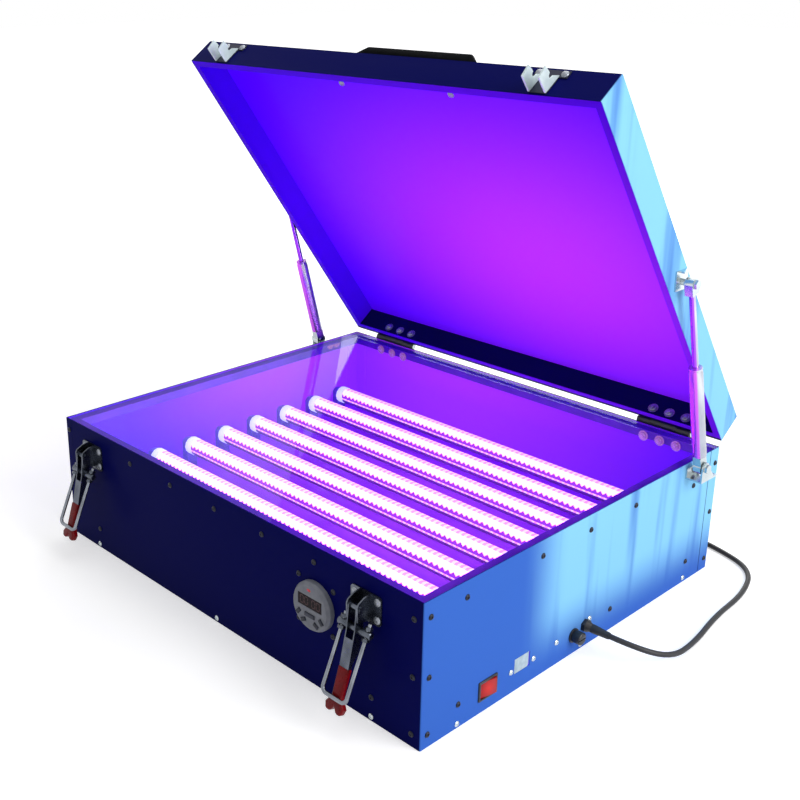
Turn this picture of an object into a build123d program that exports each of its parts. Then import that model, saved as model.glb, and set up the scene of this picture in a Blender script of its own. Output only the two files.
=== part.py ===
from build123d import *
from math import cos, hypot, pi, radians, sin, sqrt, tan
import os

os.makedirs("parts", exist_ok=True)

# A bench exposure unit: a sheet-steel base with a row of LED tubes under a glass plate, and a
# hinged lid that two gas struts hold open. Millimetres, +X right, -Y front, +Z up.
# The origin is the middle of the base's underside. The unit is drawn with its lid open.

# Cabinet
WIDTH = 700.0
DEPTH = 592.0
BASE_HEIGHT = 183.0
LID_HEIGHT = 44.0
LID_GAP = 3.0
SHEET = 1.5
BEND_RADIUS = 2.0
SEAM = 0.4
LEFT_WRAP = 14.0
BACK_WRAP = 22.0
TRAY_FLANGE = 14.0
POST_LEG = 22.0
FIT = 0.3

# Glass and the angle frame that carries it
GLASS_THICKNESS = 5.0
GLASS_CLEARANCE = 0.5
LEDGE_WIDTH = 14.0
FRAME_LEG = 18.0

# Lid
LID_OPEN_ANGLE = 54.2
LID_LIP = 9.0

# Lamps
LAMP_FLOOR_TOP = 62.0
FLOOR_TAB_WIDTH = 24.0
FLOOR_TAB_DROP = 38.0
FRONT_TAB_INSET = 74.0
SIDE_TAB_INSET = 60.0
SIDE_TAB_MIDDLE_Y = 57.0
TUBE_COUNT = 7
TUBE_PITCH = 63.75
TUBE_FRONT_INSET = 118.0
TUBE_CENTRE_Z = 102.0
TUBE_LENGTH = 588.0
TUBE_RADIUS = 13.0
TUBE_WALL = 1.0
TUBE_SIDES = 12
TUBE_SPLIT = -3.0
END_CAP_LENGTH = 14.0
END_CAP_SKIRT = 0.4
BOARD_WIDTH = 11.0
BOARD_THICKNESS = 1.6
HOLDER_THICKNESS = 12.0
HOLDER_WIDTH = 19.0
DRIVER_SIZE = (120.0, 32.0, 30.0)
DRIVER_X = -200.0
DRIVER_FRONT_INSET = 52.0

# Timer, in the front panel. An inset is measured in from the cabinet's nearest edge, and a drop
# down from the base's top.
TIMER_INSET = 165.0
TIMER_DROP = 74.0
TIMER_RADIUS = 31.0
TIMER_SIDES = 32
TIMER_FACE_RADIUS = 28.0
TIMER_RIM = 6.0
TIMER_PROUD = 10.0
TIMER_BODY_RADIUS = 24.0
TIMER_BODY_DEPTH = 34.0
TIMER_FLANGE = 68.0
TIMER_SCREW_OFFSET = 29.0
DISPLAY_SIZE = (40.0, 15.0)
DISPLAY_RISE = 6.5
DISPLAY_SINK = 1.2
BUTTON_PROUD = 1.5
BUTTON_TRAVEL = 1.0
BUTTON_DEPTH = 3.0
# across, up, width, height and turn of each button on the timer's face
TIMER_BUTTONS = (
    (-19.0, -11.0, 8.0, 4.6, 50.0),
    (-10.5, -19.0, 8.0, 4.6, 28.0),
    (0.0, -10.0, 16.0, 5.0, 0.0),
    (10.5, -19.0, 8.0, 4.6, -28.0),
    (19.0, -11.0, 8.0, 4.6, -50.0),
)

# Fittings in the right side panel
SWITCH_INSET = 112.0
SWITCH_Z = 29.0
SWITCH_FRAME = (33.0, 26.0)
SWITCH_FRAME_PROUD = 2.0
SWITCH_BODY = (29.5, 22.5)
SWITCH_DEPTH = 24.0
ROCKER_SIZE = (27.0, 20.0)
ROCKER_TILT = 10.0
ROCKER_FACE = 4.2
ROCKER_PIVOT_DEPTH = 2.2
TRUNNION_RADIUS = 1.5
TRUNNION_REACH = 0.8
SOCKET_INSET = 175.0
SOCKET_Z = 33.0
SOCKET_OPENING = (29.0, 20.0)
SOCKET_FACE = 25.0
SOCKET_FLANGE = (52.0, 24.0)
SOCKET_SCREW_OFFSET = 21.0
FUSE_Y = -20.0
FUSE_Z = 26.0
FUSE_CAP_RADIUS = 8.0
FUSE_CAP_LENGTH = 12.0
FUSE_FLANGE_RADIUS = 9.5
FUSE_BARREL_RADIUS = 6.0
FUSE_BARREL_LENGTH = 28.0
GLAND_Y = 2.8
GLAND_Z = 31.0
GLAND_RADIUS = 7.5
GLAND_LENGTH = 12.0
GLAND_THREAD_RADIUS = 5.5

# Hinges, on the back
HINGE_INSET = 89.0
HINGE_WIDTH = 82.0
HINGE_LEAF = 2.0
HINGE_AXIS_BEHIND = 6.0
HINGE_AXIS_DROP = 1.2
KNUCKLE_RADIUS = 5.5
KNUCKLE_GAP = 0.3
HINGE_PIN_RADIUS = 2.5
HINGE_BOLT_PITCH = 26.0
HINGE_BASE_BOLT_DROP = 20.0
HINGE_LID_BOLT_RISE = 17.0
LEAF_MARGIN = 12.0

# Bolts: a low head, a square neck and a hexagon nut
BOLT_HEAD_RADIUS = 3.6
BOLT_HEAD_HEIGHT = 2.2
BOLT_NECK = 4.0
BOLT_HOLE = 4.3
NUT_ACROSS = 7.0
NUT_HEIGHT = 3.0

# Toggle latches, on the front. "Out" is the distance in front of the base's front face.
LATCH_INSETS = {"left": 69.0, "right": 83.0}
LATCH_PLATE = 1.8
LATCH_PLATE_WIDTH = 47.0
LATCH_PLATE_DROPS = (56.0, 19.5)
LATCH_BOLT_X = 17.5
LATCH_BOLT_DROPS = (49.0, 27.0)
EAR_OUTSIDE = 9.0
LEVER_PIVOT_OUT = 17.5
LEVER_PIVOT_DROP = 33.0
RIVET_RADIUS = 3.0
LEVER_SIDE = 1.5
SIDE_CLEARANCE = 0.3
BEARING_CLEARANCE = 0.05
BARREL_ARM = 26.0
BARREL_RADIUS = 4.5
BARREL_LENGTH = 50.0
LEVER_ANGLE = 18.5
LEVER_REACH = 46.0
GRIP_REACH = 98.0
GRIP_WIDTH = 15.0
GRIP_THICKNESS = 9.0
TONGUE_THICKNESS = 4.0
BAIL_ANGLE = 24.0
BAIL_LENGTH = 80.4
BAIL_HALF_WIDTH = 18.5
BAIL_RADIUS = 2.75
BAIL_BEND = 6.5
BAIL_TIP = 12.0
BAIL_NUT_ACROSS = 8.4
BAIL_NUT_HEIGHT = 3.6

# Catch plates on the lid's front, sized so that the latched bail seats in their notches
CATCH_SHEET = 1.5
CATCH_FIN_OUTSIDE = 12.0
CATCH_FIN = 2.0
CATCH_SEAT_OUT = 12.5
CATCH_SEAT_CLEARANCE = 0.35
CATCH_BOLT_X = 17.0
CATCH_BOLT_RISE = 33.5
CATCH_BOLT_MARGIN = 5.5

# Bow handle on the lid
HANDLE_X = -7.5
HANDLE_INSET = 54.3
HANDLE_BOLT_SPACING = 193.0
HANDLE_RISE = 50.0
HANDLE_DEPTH = 26.0
HANDLE_BAR = 15.0
HANDLE_LEG = 20.0
HANDLE_FOOT = (32.0, 32.0, 9.0)

# Gas struts, one beside each side wall. The upper pivot is placed ahead of the hinge pin and above
# the lid's lower edge, with the lid shut.
STRUT_SIDE_GAP = 15.0
STRUT_LOWER_INSET = 77.5
STRUT_LOWER_DROP = 0.5
STRUT_UPPER_REACH = 300.0
STRUT_UPPER_RISE = 24.0
STRUT_EYE = 11.0
FOOT_RADIUS = 9.0
FOOT_REACH = 18.0
CYLINDER_RADIUS = 9.0
STRUT_SIDES = 24
CYLINDER_END = 153.0
CYLINDER_FLOOR = 50.0
ROD_RADIUS = 4.0
ROD_INSERTED = 45.0
ROD_END_LENGTH = 14.0
ROD_END_WIDTH = 15.0
ROD_CLEARANCE = 0.06
PIVOT_RADIUS = 4.0
BRACKET_SHEET = 2.0
BRACKET_BACK_INSET = 46.0
BRACKET_SHELF_DROP = 18.0
BRACKET_EAR_RADIUS = 8.0
BRACKET_BOLT_INSETS = (68.0, 53.0)
BRACKET_BOLT_DROP = 11.5
BRACKET_SLOT = (16.0, 8.0)
UPPER_PLATE = (26.0, 23.0)
UPPER_SHELF_RISE = 12.4
UPPER_SHELF_CLEARANCE = 0.6

# Mains cord
CORD_RADIUS = 3.5
CORD_SIDES = 5
FLOOR_CLEARANCE = 0.1
COIL_TURNS_IN_LAYER = 1
COIL_OUTER_RADIUS = 50.0
COIL_PITCH = 7.8
COIL_CENTRE = (120.0, 411.0)
PLUG_BODY = (25.0, 34.0)
PLUG_COLLAR = 12.0
PLUG_NECK = 12.0
PLUG_LEAD = 44.0
PLUG_BLADE = (6.4, 1.6, 18.0)
PLUG_BLADE_SPACING = 12.7

# Worked out from the sizes above
HALF_X = WIDTH / 2
HALF_Y = DEPTH / 2
INNER_X = HALF_X - SHEET
INNER_Y = HALF_Y - SHEET
LEDGE_TOP = BASE_HEIGHT - GLASS_THICKNESS
FRAME_BOTTOM = LEDGE_TOP - FRAME_LEG
LID_BOTTOM = BASE_HEIGHT + LID_GAP
LID_TOP = LID_BOTTOM + LID_HEIGHT
HINGE_X = HALF_X - HINGE_INSET
HINGE_Y = HALF_Y + HINGE_AXIS_BEHIND
HINGE_Z = LID_BOTTOM - HINGE_AXIS_DROP
TUBE_YS = [-HALF_Y + TUBE_FRONT_INSET + i * TUBE_PITCH for i in range(TUBE_COUNT)]
TIMER_X = HALF_X - TIMER_INSET
TIMER_Z = BASE_HEIGHT - TIMER_DROP
SWITCH_Y = -HALF_Y + SWITCH_INSET
SOCKET_Y = -HALF_Y + SOCKET_INSET
LATCH_CENTRES = {"left": -HALF_X + LATCH_INSETS["left"], "right": HALF_X - LATCH_INSETS["right"]}
LATCH_PLATE_Z = [BASE_HEIGHT - drop for drop in LATCH_PLATE_DROPS]
CATCH_BOLT_Z = LID_BOTTOM + CATCH_BOLT_RISE
HANDLE_Y = -HALF_Y + HANDLE_INSET
STRUT_X = HALF_X + STRUT_SIDE_GAP
BRACKET_BACK = HALF_Y - BRACKET_BACK_INSET
BRACKET_SHELF_Z = BASE_HEIGHT - BRACKET_SHELF_DROP
ACROSS = Vector(1, 0, 0)


def save(name, *solids):
    """Writes one sub-part, of one or more separate solids."""
    shape = solids[0] if len(solids) == 1 else Compound(children=list(solids))
    export_step(shape, f"parts/{name}.step")


def block(x, y, z):
    """A box between two limits along each axis."""
    size = [hi - lo for lo, hi in (x, y, z)]
    middle = [(hi + lo) / 2 for lo, hi in (x, y, z)]
    return Pos(*middle) * Box(*size)


def pin_x(radius, x, y, z):
    """A round pin, or the cutter for its hole, along X between the limits x."""
    return Pos((x[0] + x[1]) / 2, y, z) * Rot(0, 90, 0) * Cylinder(radius, x[1] - x[0])


def facet_bar(radius, x, y, z, sides=12):
    """A small round bar along X, drawn with flat sides inside its true radius."""
    sketch = RegularPolygon(radius, sides)
    return extrude(Plane.YZ.offset(x[0]) * Pos(y, z) * sketch, x[1] - x[0], dir=(1, 0, 0))


def facet_bore(radius, x, y, z, sides=12):
    """A cutter for a small round hole along X, with flat sides that clear its true radius."""
    sketch = RegularPolygon(radius, sides, major_radius=False)
    return extrude(Plane.YZ.offset(x[0]) * Pos(y, z) * sketch, x[1] - x[0], dir=(1, 0, 0))


def rod_y(radius, x, y, z):
    """A round bar along Y between the limits y."""
    return Pos(x, (y[0] + y[1]) / 2, z) * Rot(90, 0, 0) * Cylinder(radius, y[1] - y[0])


def side_profile(points, x, corner=0.0):
    """An outline of (y, z) points, rounded at its corners if asked, drawn out along X."""
    sketch = make_face(Polyline(*points, close=True))
    if corner:
        sketch = fillet(sketch.vertices(), corner)
    return extrude(Plane.YZ.offset(x[0]) * sketch, x[1] - x[0], dir=(1, 0, 0))


def hexagon_bar(across, x, y, z):
    """A hexagon bar along X with two of its flats level."""
    sketch = RegularPolygon(across / 2, 6, major_radius=False, rotation=30)
    return extrude(Plane.YZ.offset(x[0]) * Pos(y, z) * sketch, x[1] - x[0], dir=(1, 0, 0))


def mirrored(solid):
    """The same piece on the other side of the middle plane."""
    return mirror(solid, about=Plane.YZ)


def bolt(seat, into, grip):
    """A bolt whose head rests at seat, with its nut at the far side of the grip."""
    # the local X axis stays level, so necks, holes and nuts line up
    level = Vector(0, 0, 1) if abs(into[2]) < 0.5 else ACROSS
    plane = Plane(origin=seat, x_dir=level, z_dir=into)
    head = extrude(RegularPolygon(BOLT_HEAD_RADIUS, 6), -BOLT_HEAD_HEIGHT)
    neck = extrude(Rectangle(BOLT_NECK, BOLT_NECK), grip)
    nut_face = RegularPolygon(NUT_ACROSS / 2, 6, major_radius=False, rotation=30)
    nut = Pos(0, 0, grip) * extrude(nut_face, NUT_HEIGHT)
    return plane * (head + neck + nut)


def bolt_holes(seats, into, depth):
    """Square holes for bolts, started a little outside their seats."""
    level = Vector(0, 0, 1) if abs(into[2]) < 0.5 else ACROSS
    holes = []
    for seat in seats:
        plane = Plane(origin=Vector(*seat) - Vector(*into), x_dir=level, z_dir=into)
        holes.append(plane * extrude(Rectangle(BOLT_HOLE, BOLT_HOLE), depth + 2))
    return holes


def opened(solid):
    """Swings a lid piece from shut to the open position that the unit is drawn in."""
    return Pos(0, HINGE_Y, HINGE_Z) * Rot(-LID_OPEN_ANGLE, 0, 0) * Pos(0, -HINGE_Y, -HINGE_Z) * solid


def front(out):
    """The y of a point that stands out from the base's front face."""
    return -HALF_Y - out


# ---------------------------------------------------------------- positions of the fasteners

HINGE_SIDES = (-HINGE_X, HINGE_X)
HINGE_BOLT_XS = [x + k * HINGE_BOLT_PITCH for x in HINGE_SIDES for k in (-1, 0, 1)]
HINGE_BASE_BOLT_Z = BASE_HEIGHT - HINGE_BASE_BOLT_DROP
HINGE_LID_BOLT_Z = LID_BOTTOM + HINGE_LID_BOLT_RISE
BASE_HINGE_SEATS = [(x, HALF_Y + HINGE_LEAF, HINGE_BASE_BOLT_Z) for x in HINGE_BOLT_XS]
LID_HINGE_SEATS = [(x, HALF_Y + HINGE_LEAF, HINGE_LID_BOLT_Z) for x in HINGE_BOLT_XS]
LATCH_SEATS = [
    (centre + side * LATCH_BOLT_X, front(LATCH_PLATE), BASE_HEIGHT - drop)
    for centre in LATCH_CENTRES.values()
    for side in (-1, 1)
    for drop in LATCH_BOLT_DROPS
]
CATCH_SEATS = [
    (centre + side * CATCH_BOLT_X, front(CATCH_SHEET), CATCH_BOLT_Z)
    for centre in LATCH_CENTRES.values()
    for side in (-1, 1)
]
BRACKET_BOLT_Z = BASE_HEIGHT - BRACKET_BOLT_DROP
BRACKET_SEATS = [(HALF_X + BRACKET_SHEET, HALF_Y - inset, BRACKET_BOLT_Z) for inset in BRACKET_BOLT_INSETS]
HANDLE_BOLT_XS = [HANDLE_X + side * HANDLE_BOLT_SPACING / 2 for side in (-1, 1)]

# ---------------------------------------------------------------- base cabinet

front_sheet = block(
    (-HALF_X + LEFT_WRAP + SEAM, HALF_X), (-HALF_Y, -INNER_Y), (0, BASE_HEIGHT)
)
right_sheet = block((INNER_X, HALF_X), (-HALF_Y, HALF_Y - BACK_WRAP - SEAM), (0, BASE_HEIGHT))
front_right_panel = front_sheet + right_sheet
outer_bend = front_right_panel.edges().filter_by(Axis.Z).sort_by(Axis.X)[-2:].sort_by(Axis.Y)[0]
front_right_panel = fillet(outer_bend, BEND_RADIUS)
front_right_panel -= rod_y(TIMER_BODY_RADIUS + FIT, TIMER_X, (-HALF_Y - 1, -INNER_Y + 1), TIMER_Z)
front_right_panel -= block(
    (INNER_X - 1, HALF_X + 1),
    (SWITCH_Y - SWITCH_BODY[0] / 2 - FIT, SWITCH_Y + SWITCH_BODY[0] / 2 + FIT),
    (SWITCH_Z - SWITCH_BODY[1] / 2 - FIT, SWITCH_Z + SWITCH_BODY[1] / 2 + FIT),
)
front_right_panel -= block(
    (INNER_X - 1, HALF_X + 1),
    (SOCKET_Y - SOCKET_OPENING[0] / 2, SOCKET_Y + SOCKET_OPENING[0] / 2),
    (SOCKET_Z - SOCKET_OPENING[1] / 2, SOCKET_Z + SOCKET_OPENING[1] / 2),
)
front_right_panel -= facet_bore(FUSE_BARREL_RADIUS + FIT, (INNER_X - 1, HALF_X + 1), FUSE_Y, FUSE_Z)
front_right_panel -= facet_bore(GLAND_THREAD_RADIUS + FIT, (INNER_X - 1, HALF_X + 1), GLAND_Y, GLAND_Z)
for hole in bolt_holes(LATCH_SEATS, (0, 1, 0), LATCH_PLATE + SHEET):
    front_right_panel -= hole
right_bracket_holes = bolt_holes(BRACKET_SEATS, (-1, 0, 0), BRACKET_SHEET + 2 * SHEET)
for hole in right_bracket_holes:
    front_right_panel -= hole
save("front_right_panel", front_right_panel)

left_panel = block((-HALF_X, -INNER_X), (-HALF_Y, HALF_Y - BACK_WRAP - SEAM), (0, BASE_HEIGHT))
left_panel += block((-HALF_X, -HALF_X + LEFT_WRAP), (-HALF_Y, -INNER_Y), (0, BASE_HEIGHT))
outer_bend = left_panel.edges().filter_by(Axis.Z).sort_by(Axis.X)[:2].sort_by(Axis.Y)[0]
left_panel = fillet(outer_bend, BEND_RADIUS)
for hole in right_bracket_holes:
    left_panel -= mirrored(hole)
save("left_panel", left_panel)

back_panel = block((-HALF_X, HALF_X), (INNER_Y, HALF_Y), (0, BASE_HEIGHT))
for side in ((-HALF_X, -INNER_X), (INNER_X, HALF_X)):
    back_panel += block(side, (HALF_Y - BACK_WRAP, HALF_Y), (0, BASE_HEIGHT))
outer_bends = back_panel.edges().filter_by(Axis.Z).sort_by(Axis.Y)[-2:]
back_panel = fillet(outer_bends, BEND_RADIUS)
base_hinge_holes = bolt_holes(BASE_HINGE_SEATS, (0, -1, 0), HINGE_LEAF + 2 * SHEET)
for hole in base_hinge_holes:
    back_panel -= hole
save("back_panel", back_panel)

base_tray = block((-INNER_X, INNER_X), (-INNER_Y, INNER_Y), (0, TRAY_FLANGE))
base_tray -= block(
    (-INNER_X + SHEET, INNER_X - SHEET), (-INNER_Y + SHEET, INNER_Y - SHEET), (SHEET, TRAY_FLANGE + 1)
)
save("base_tray", base_tray)

post = block((INNER_X - POST_LEG, INNER_X), (INNER_Y - POST_LEG, INNER_Y), (TRAY_FLANGE, FRAME_BOTTOM))
post -= block(
    (INNER_X - POST_LEG - 1, INNER_X - SHEET),
    (INNER_Y - POST_LEG - 1, INNER_Y - SHEET),
    (TRAY_FLANGE - 1, FRAME_BOTTOM + 1),
)
back_posts = [post, mirrored(post)]
front_posts = [mirror(corner, about=Plane.XZ) for corner in back_posts]
save("corner_posts", *back_posts, *front_posts)

glass_frame = block((-INNER_X, INNER_X), (-INNER_Y, INNER_Y), (FRAME_BOTTOM, LEDGE_TOP))
glass_frame -= block(
    (-INNER_X + SHEET, INNER_X - SHEET),
    (-INNER_Y + SHEET, INNER_Y - SHEET),
    (FRAME_BOTTOM - 1, LEDGE_TOP - SHEET),
)
glass_frame -= block(
    (-INNER_X + LEDGE_WIDTH, INNER_X - LEDGE_WIDTH),
    (-INNER_Y + LEDGE_WIDTH, INNER_Y - LEDGE_WIDTH),
    (FRAME_BOTTOM, LEDGE_TOP + 1),
)
for hole in base_hinge_holes + right_bracket_holes:
    glass_frame -= hole
for hole in right_bracket_holes:
    glass_frame -= mirrored(hole)
save("glass_frame", glass_frame)

glass_x = INNER_X - GLASS_CLEARANCE
glass_y = INNER_Y - GLASS_CLEARANCE
exposure_glass = block((-glass_x, glass_x), (-glass_y, glass_y), (LEDGE_TOP, BASE_HEIGHT))
save("exposure_glass", exposure_glass)

# ---------------------------------------------------------------- lamp floor and lamps

floor_x = INNER_X - FIT
floor_y = INNER_Y - FIT
lamp_floor = block((-floor_x, floor_x), (-floor_y, floor_y), (LAMP_FLOOR_TOP - SHEET, LAMP_FLOOR_TOP))
for x in (-1, 1):
    for y in (-1, 1):
        corner = Box(2 * (POST_LEG + 1), 2 * (POST_LEG + 1), 4 * SHEET)
        lamp_floor -= Pos(x * INNER_X, y * INNER_Y, LAMP_FLOOR_TOP) * corner
tab_z = (LAMP_FLOOR_TOP - SHEET - FLOOR_TAB_DROP, LAMP_FLOOR_TOP)
half_tab = FLOOR_TAB_WIDTH / 2
for x in (-HALF_X + FRONT_TAB_INSET, HALF_X - FRONT_TAB_INSET):
    for y in ((-floor_y, -floor_y + SHEET), (floor_y - SHEET, floor_y)):
        lamp_floor += block((x - half_tab, x + half_tab), y, tab_z)
for y in (-HALF_Y + SIDE_TAB_INSET, SIDE_TAB_MIDDLE_Y, HALF_Y - SIDE_TAB_INSET):
    for x in ((-floor_x, -floor_x + SHEET), (floor_x - SHEET, floor_x)):
        lamp_floor += block(x, (y - half_tab, y + half_tab), tab_z)
save("lamp_floor", lamp_floor)

half_tube = TUBE_LENGTH / 2
cover_end = half_tube - END_CAP_LENGTH
split_z = TUBE_CENTRE_Z + TUBE_SPLIT
full_tube = facet_bar(TUBE_RADIUS, (-cover_end, cover_end), 0, TUBE_CENTRE_Z, TUBE_SIDES)
tube_bore = facet_bar(TUBE_RADIUS - TUBE_WALL, (-half_tube, half_tube), 0, TUBE_CENTRE_Z, TUBE_SIDES)
upper_half = block((-half_tube, half_tube), (-20, 20), (split_z, TUBE_CENTRE_Z + 20))
tube_cover = (full_tube - tube_bore) & upper_half
tube_spine = full_tube - upper_half
led_board = block(
    (-cover_end, cover_end), (-BOARD_WIDTH / 2, BOARD_WIDTH / 2), (split_z, split_z + BOARD_THICKNESS)
)
end_cap = facet_bar(TUBE_RADIUS + END_CAP_SKIRT, (cover_end, half_tube), 0, TUBE_CENTRE_Z, TUBE_SIDES)
half_holder = HOLDER_WIDTH / 2
holder = side_profile(
    [
        (-half_holder, LAMP_FLOOR_TOP),
        (-half_holder, TUBE_CENTRE_Z + half_holder / 2),
        (-half_holder / 2, TUBE_CENTRE_Z + half_holder),
        (half_holder / 2, TUBE_CENTRE_Z + half_holder),
        (half_holder, TUBE_CENTRE_Z + half_holder / 2),
        (half_holder, LAMP_FLOOR_TOP),
    ],
    (half_tube, half_tube + HOLDER_THICKNESS),
)
save("led_tube_covers", *[Pos(0, y, 0) * tube_cover for y in TUBE_YS])
save("led_tube_spines", *[Pos(0, y, 0) * tube_spine for y in TUBE_YS])
save("led_boards", *[Pos(0, y, 0) * led_board for y in TUBE_YS])
save("led_end_caps", *[Pos(0, y, 0) * cap for y in TUBE_YS for cap in (end_cap, mirrored(end_cap))])
save("lampholders", *[Pos(0, y, 0) * piece for y in TUBE_YS for piece in (holder, mirrored(holder))])

led_driver = Box(*DRIVER_SIZE, align=(Align.CENTER, Align.CENTER, Align.MIN))
led_driver = chamfer(led_driver.faces().sort_by(Axis.Z)[-1].edges(), 2)
save("led_driver", Pos(DRIVER_X, -HALF_Y + DRIVER_FRONT_INSET, LAMP_FLOOR_TOP) * led_driver)

# ---------------------------------------------------------------- timer

timer_plane = Plane(origin=(TIMER_X, -HALF_Y, TIMER_Z), x_dir=(1, 0, 0), z_dir=(0, -1, 0))
rim_face = RegularPolygon(TIMER_RADIUS, TIMER_SIDES)
front_face = RegularPolygon(TIMER_FACE_RADIUS, TIMER_SIDES)
timer_bezel = extrude(rim_face, TIMER_RIM)
timer_bezel += loft([Pos(0, 0, TIMER_RIM) * rim_face, Pos(0, 0, TIMER_PROUD) * front_face], ruled=True)
display_place = Pos(0, DISPLAY_RISE, TIMER_PROUD - DISPLAY_SINK)
display_face = Rectangle(*DISPLAY_SIZE)
timer_bezel -= display_place * extrude(display_face, DISPLAY_SINK + 1)
button_floor = TIMER_PROUD - BUTTON_DEPTH - BUTTON_TRAVEL
for across, up, width, height, turn in TIMER_BUTTONS:
    pocket = Pos(across, up, button_floor - FIT) * Rot(0, 0, turn)
    opening = Rectangle(width + 2 * FIT, height + 2 * FIT)
    timer_bezel -= pocket * extrude(opening, TIMER_PROUD)
save("timer_bezel", timer_plane * timer_bezel)
save("timer_display", timer_plane * display_place * extrude(display_face, DISPLAY_SINK - FIT))
for number, (across, up, width, height, turn) in enumerate(TIMER_BUTTONS, 1):
    key = extrude(Rectangle(width, height), BUTTON_DEPTH + BUTTON_PROUD)
    key = chamfer(key.faces().sort_by(Axis.Z)[-1].edges(), 0.5)
    place = Pos(across, up, button_floor + BUTTON_TRAVEL) * Rot(0, 0, turn)
    save(f"timer_button_{number}", timer_plane * place * key)

timer_body = extrude(RegularPolygon(TIMER_BODY_RADIUS, TIMER_SIDES), -TIMER_BODY_DEPTH)
timer_flange = extrude(chamfer(Rectangle(TIMER_FLANGE, TIMER_FLANGE).vertices(), 4), -SHEET)
timer_body += Pos(0, 0, -SHEET) * timer_flange
save("timer_body", timer_plane * timer_body)

# ---------------------------------------------------------------- fittings in the right side

switch_plane = Plane(origin=(HALF_X, SWITCH_Y, SWITCH_Z), x_dir=(0, 1, 0), z_dir=(1, 0, 0))
rocker_opening = Rectangle(ROCKER_SIZE[0] + 2 * FIT, ROCKER_SIZE[1] + 2 * FIT)
rocker_radius = ROCKER_SIZE[0] / 2
switch_frame = extrude(chamfer(Rectangle(*SWITCH_FRAME).vertices(), 1), SWITCH_FRAME_PROUD)
switch_frame = chamfer(switch_frame.faces().sort_by(Axis.Z)[-1].edges(), 0.8)
switch_frame += extrude(Rectangle(*SWITCH_BODY), -SWITCH_DEPTH)
cavity_depth = ROCKER_PIVOT_DEPTH + rocker_radius + FIT
switch_frame -= Pos(0, 0, -cavity_depth) * extrude(rocker_opening, cavity_depth + SWITCH_FRAME_PROUD + 1)
rocker_axis = Pos(0, 0, -ROCKER_PIVOT_DEPTH) * Rot(90, 0, 0)
trunnion_length = ROCKER_SIZE[1] + 2 * (FIT + TRUNNION_REACH)
trunnion_bore = RegularPolygon(TRUNNION_RADIUS + BEARING_CLEARANCE, 12, major_radius=False)
bore_length = trunnion_length + 2 * BEARING_CLEARANCE
switch_frame -= rocker_axis * extrude(trunnion_bore, bore_length / 2, both=True)
save("switch_frame", switch_plane * switch_frame)

rocker_side = RegularPolygon(rocker_radius, 24) - Pos(0, rocker_radius + ROCKER_FACE) * Rectangle(
    4 * rocker_radius, 2 * rocker_radius
)
rocker = Pos(0, ROCKER_SIZE[1] / 2, 0) * Rot(90, 0, 0) * extrude(rocker_side, ROCKER_SIZE[1])
rocker += Rot(90, 0, 0) * Cylinder(TRUNNION_RADIUS, trunnion_length)
rocker = Rot(0, -ROCKER_TILT, 0) * rocker
save("switch_rocker", switch_plane * Pos(0, 0, -ROCKER_PIVOT_DEPTH) * rocker)

socket_plane = Plane(origin=(INNER_X, SOCKET_Y, SOCKET_Z), x_dir=(0, 1, 0), z_dir=(1, 0, 0))
socket_insert = extrude(chamfer(Rectangle(*SOCKET_FLANGE).vertices(), 3), -2)
socket_face = Rectangle(SOCKET_FACE, SOCKET_OPENING[1] - 2 * FIT)
face_shift = (SOCKET_FACE - SOCKET_OPENING[0]) / 2 + FIT
socket_insert += Pos(face_shift, 0, 0) * extrude(socket_face, SHEET)
socket_insert += extrude(Rectangle(*SOCKET_OPENING), -14)
save("socket_insert", socket_plane * socket_insert)

screw_head = extrude(RegularPolygon(BOLT_HEAD_RADIUS, 6), BOLT_HEAD_HEIGHT)
screws = []
for side in (-1, 1):
    screws.append(switch_plane * Pos(SOCKET_Y - SWITCH_Y + side * SOCKET_SCREW_OFFSET, 0, 0) * screw_head)
for across in (-TIMER_SCREW_OFFSET, TIMER_SCREW_OFFSET):
    for up in (-TIMER_SCREW_OFFSET, TIMER_SCREW_OFFSET):
        screws.append(timer_plane * Pos(across, up, 0) * screw_head)

fuse_holder = facet_bar(FUSE_FLANGE_RADIUS, (HALF_X, HALF_X + 2), FUSE_Y, FUSE_Z, 20)
fuse_holder += facet_bar(FUSE_BARREL_RADIUS, (HALF_X - FUSE_BARREL_LENGTH, HALF_X), FUSE_Y, FUSE_Z)
fuse_holder += hexagon_bar(2.6 * FUSE_BARREL_RADIUS, (INNER_X - 3, INNER_X), FUSE_Y, FUSE_Z)
save("fuse_holder", fuse_holder)
fuse_cap_x = (HALF_X + 2, HALF_X + 2 + FUSE_CAP_LENGTH)
fuse_cap = facet_bar(FUSE_CAP_RADIUS, fuse_cap_x, FUSE_Y, FUSE_Z, 20)
fuse_cap = chamfer(fuse_cap.faces().sort_by(Axis.X)[-1].edges(), 1)
fuse_cap -= block(
    (fuse_cap_x[1] - 1.5, fuse_cap_x[1] + 1), (FUSE_Y - 10, FUSE_Y + 10), (FUSE_Z - 0.8, FUSE_Z + 0.8)
)
save("fuse_cap", fuse_cap)

gland_end = HALF_X + GLAND_LENGTH
cable_gland = hexagon_bar(2 * GLAND_RADIUS, (HALF_X, HALF_X + 5), GLAND_Y, GLAND_Z)
dome_plane = Plane.YZ.offset(HALF_X + 5) * Pos(GLAND_Y, GLAND_Z)
cable_gland += dome_plane * extrude(RegularPolygon(GLAND_RADIUS - 0.4, 12), gland_end - HALF_X - 5, taper=16)
cable_gland += facet_bar(GLAND_THREAD_RADIUS, (INNER_X - 9, HALF_X), GLAND_Y, GLAND_Z)
cable_gland += hexagon_bar(2.6 * GLAND_THREAD_RADIUS, (INNER_X - 4, INNER_X), GLAND_Y, GLAND_Z)
save("cable_gland", cable_gland)

# ---------------------------------------------------------------- hinges

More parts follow.
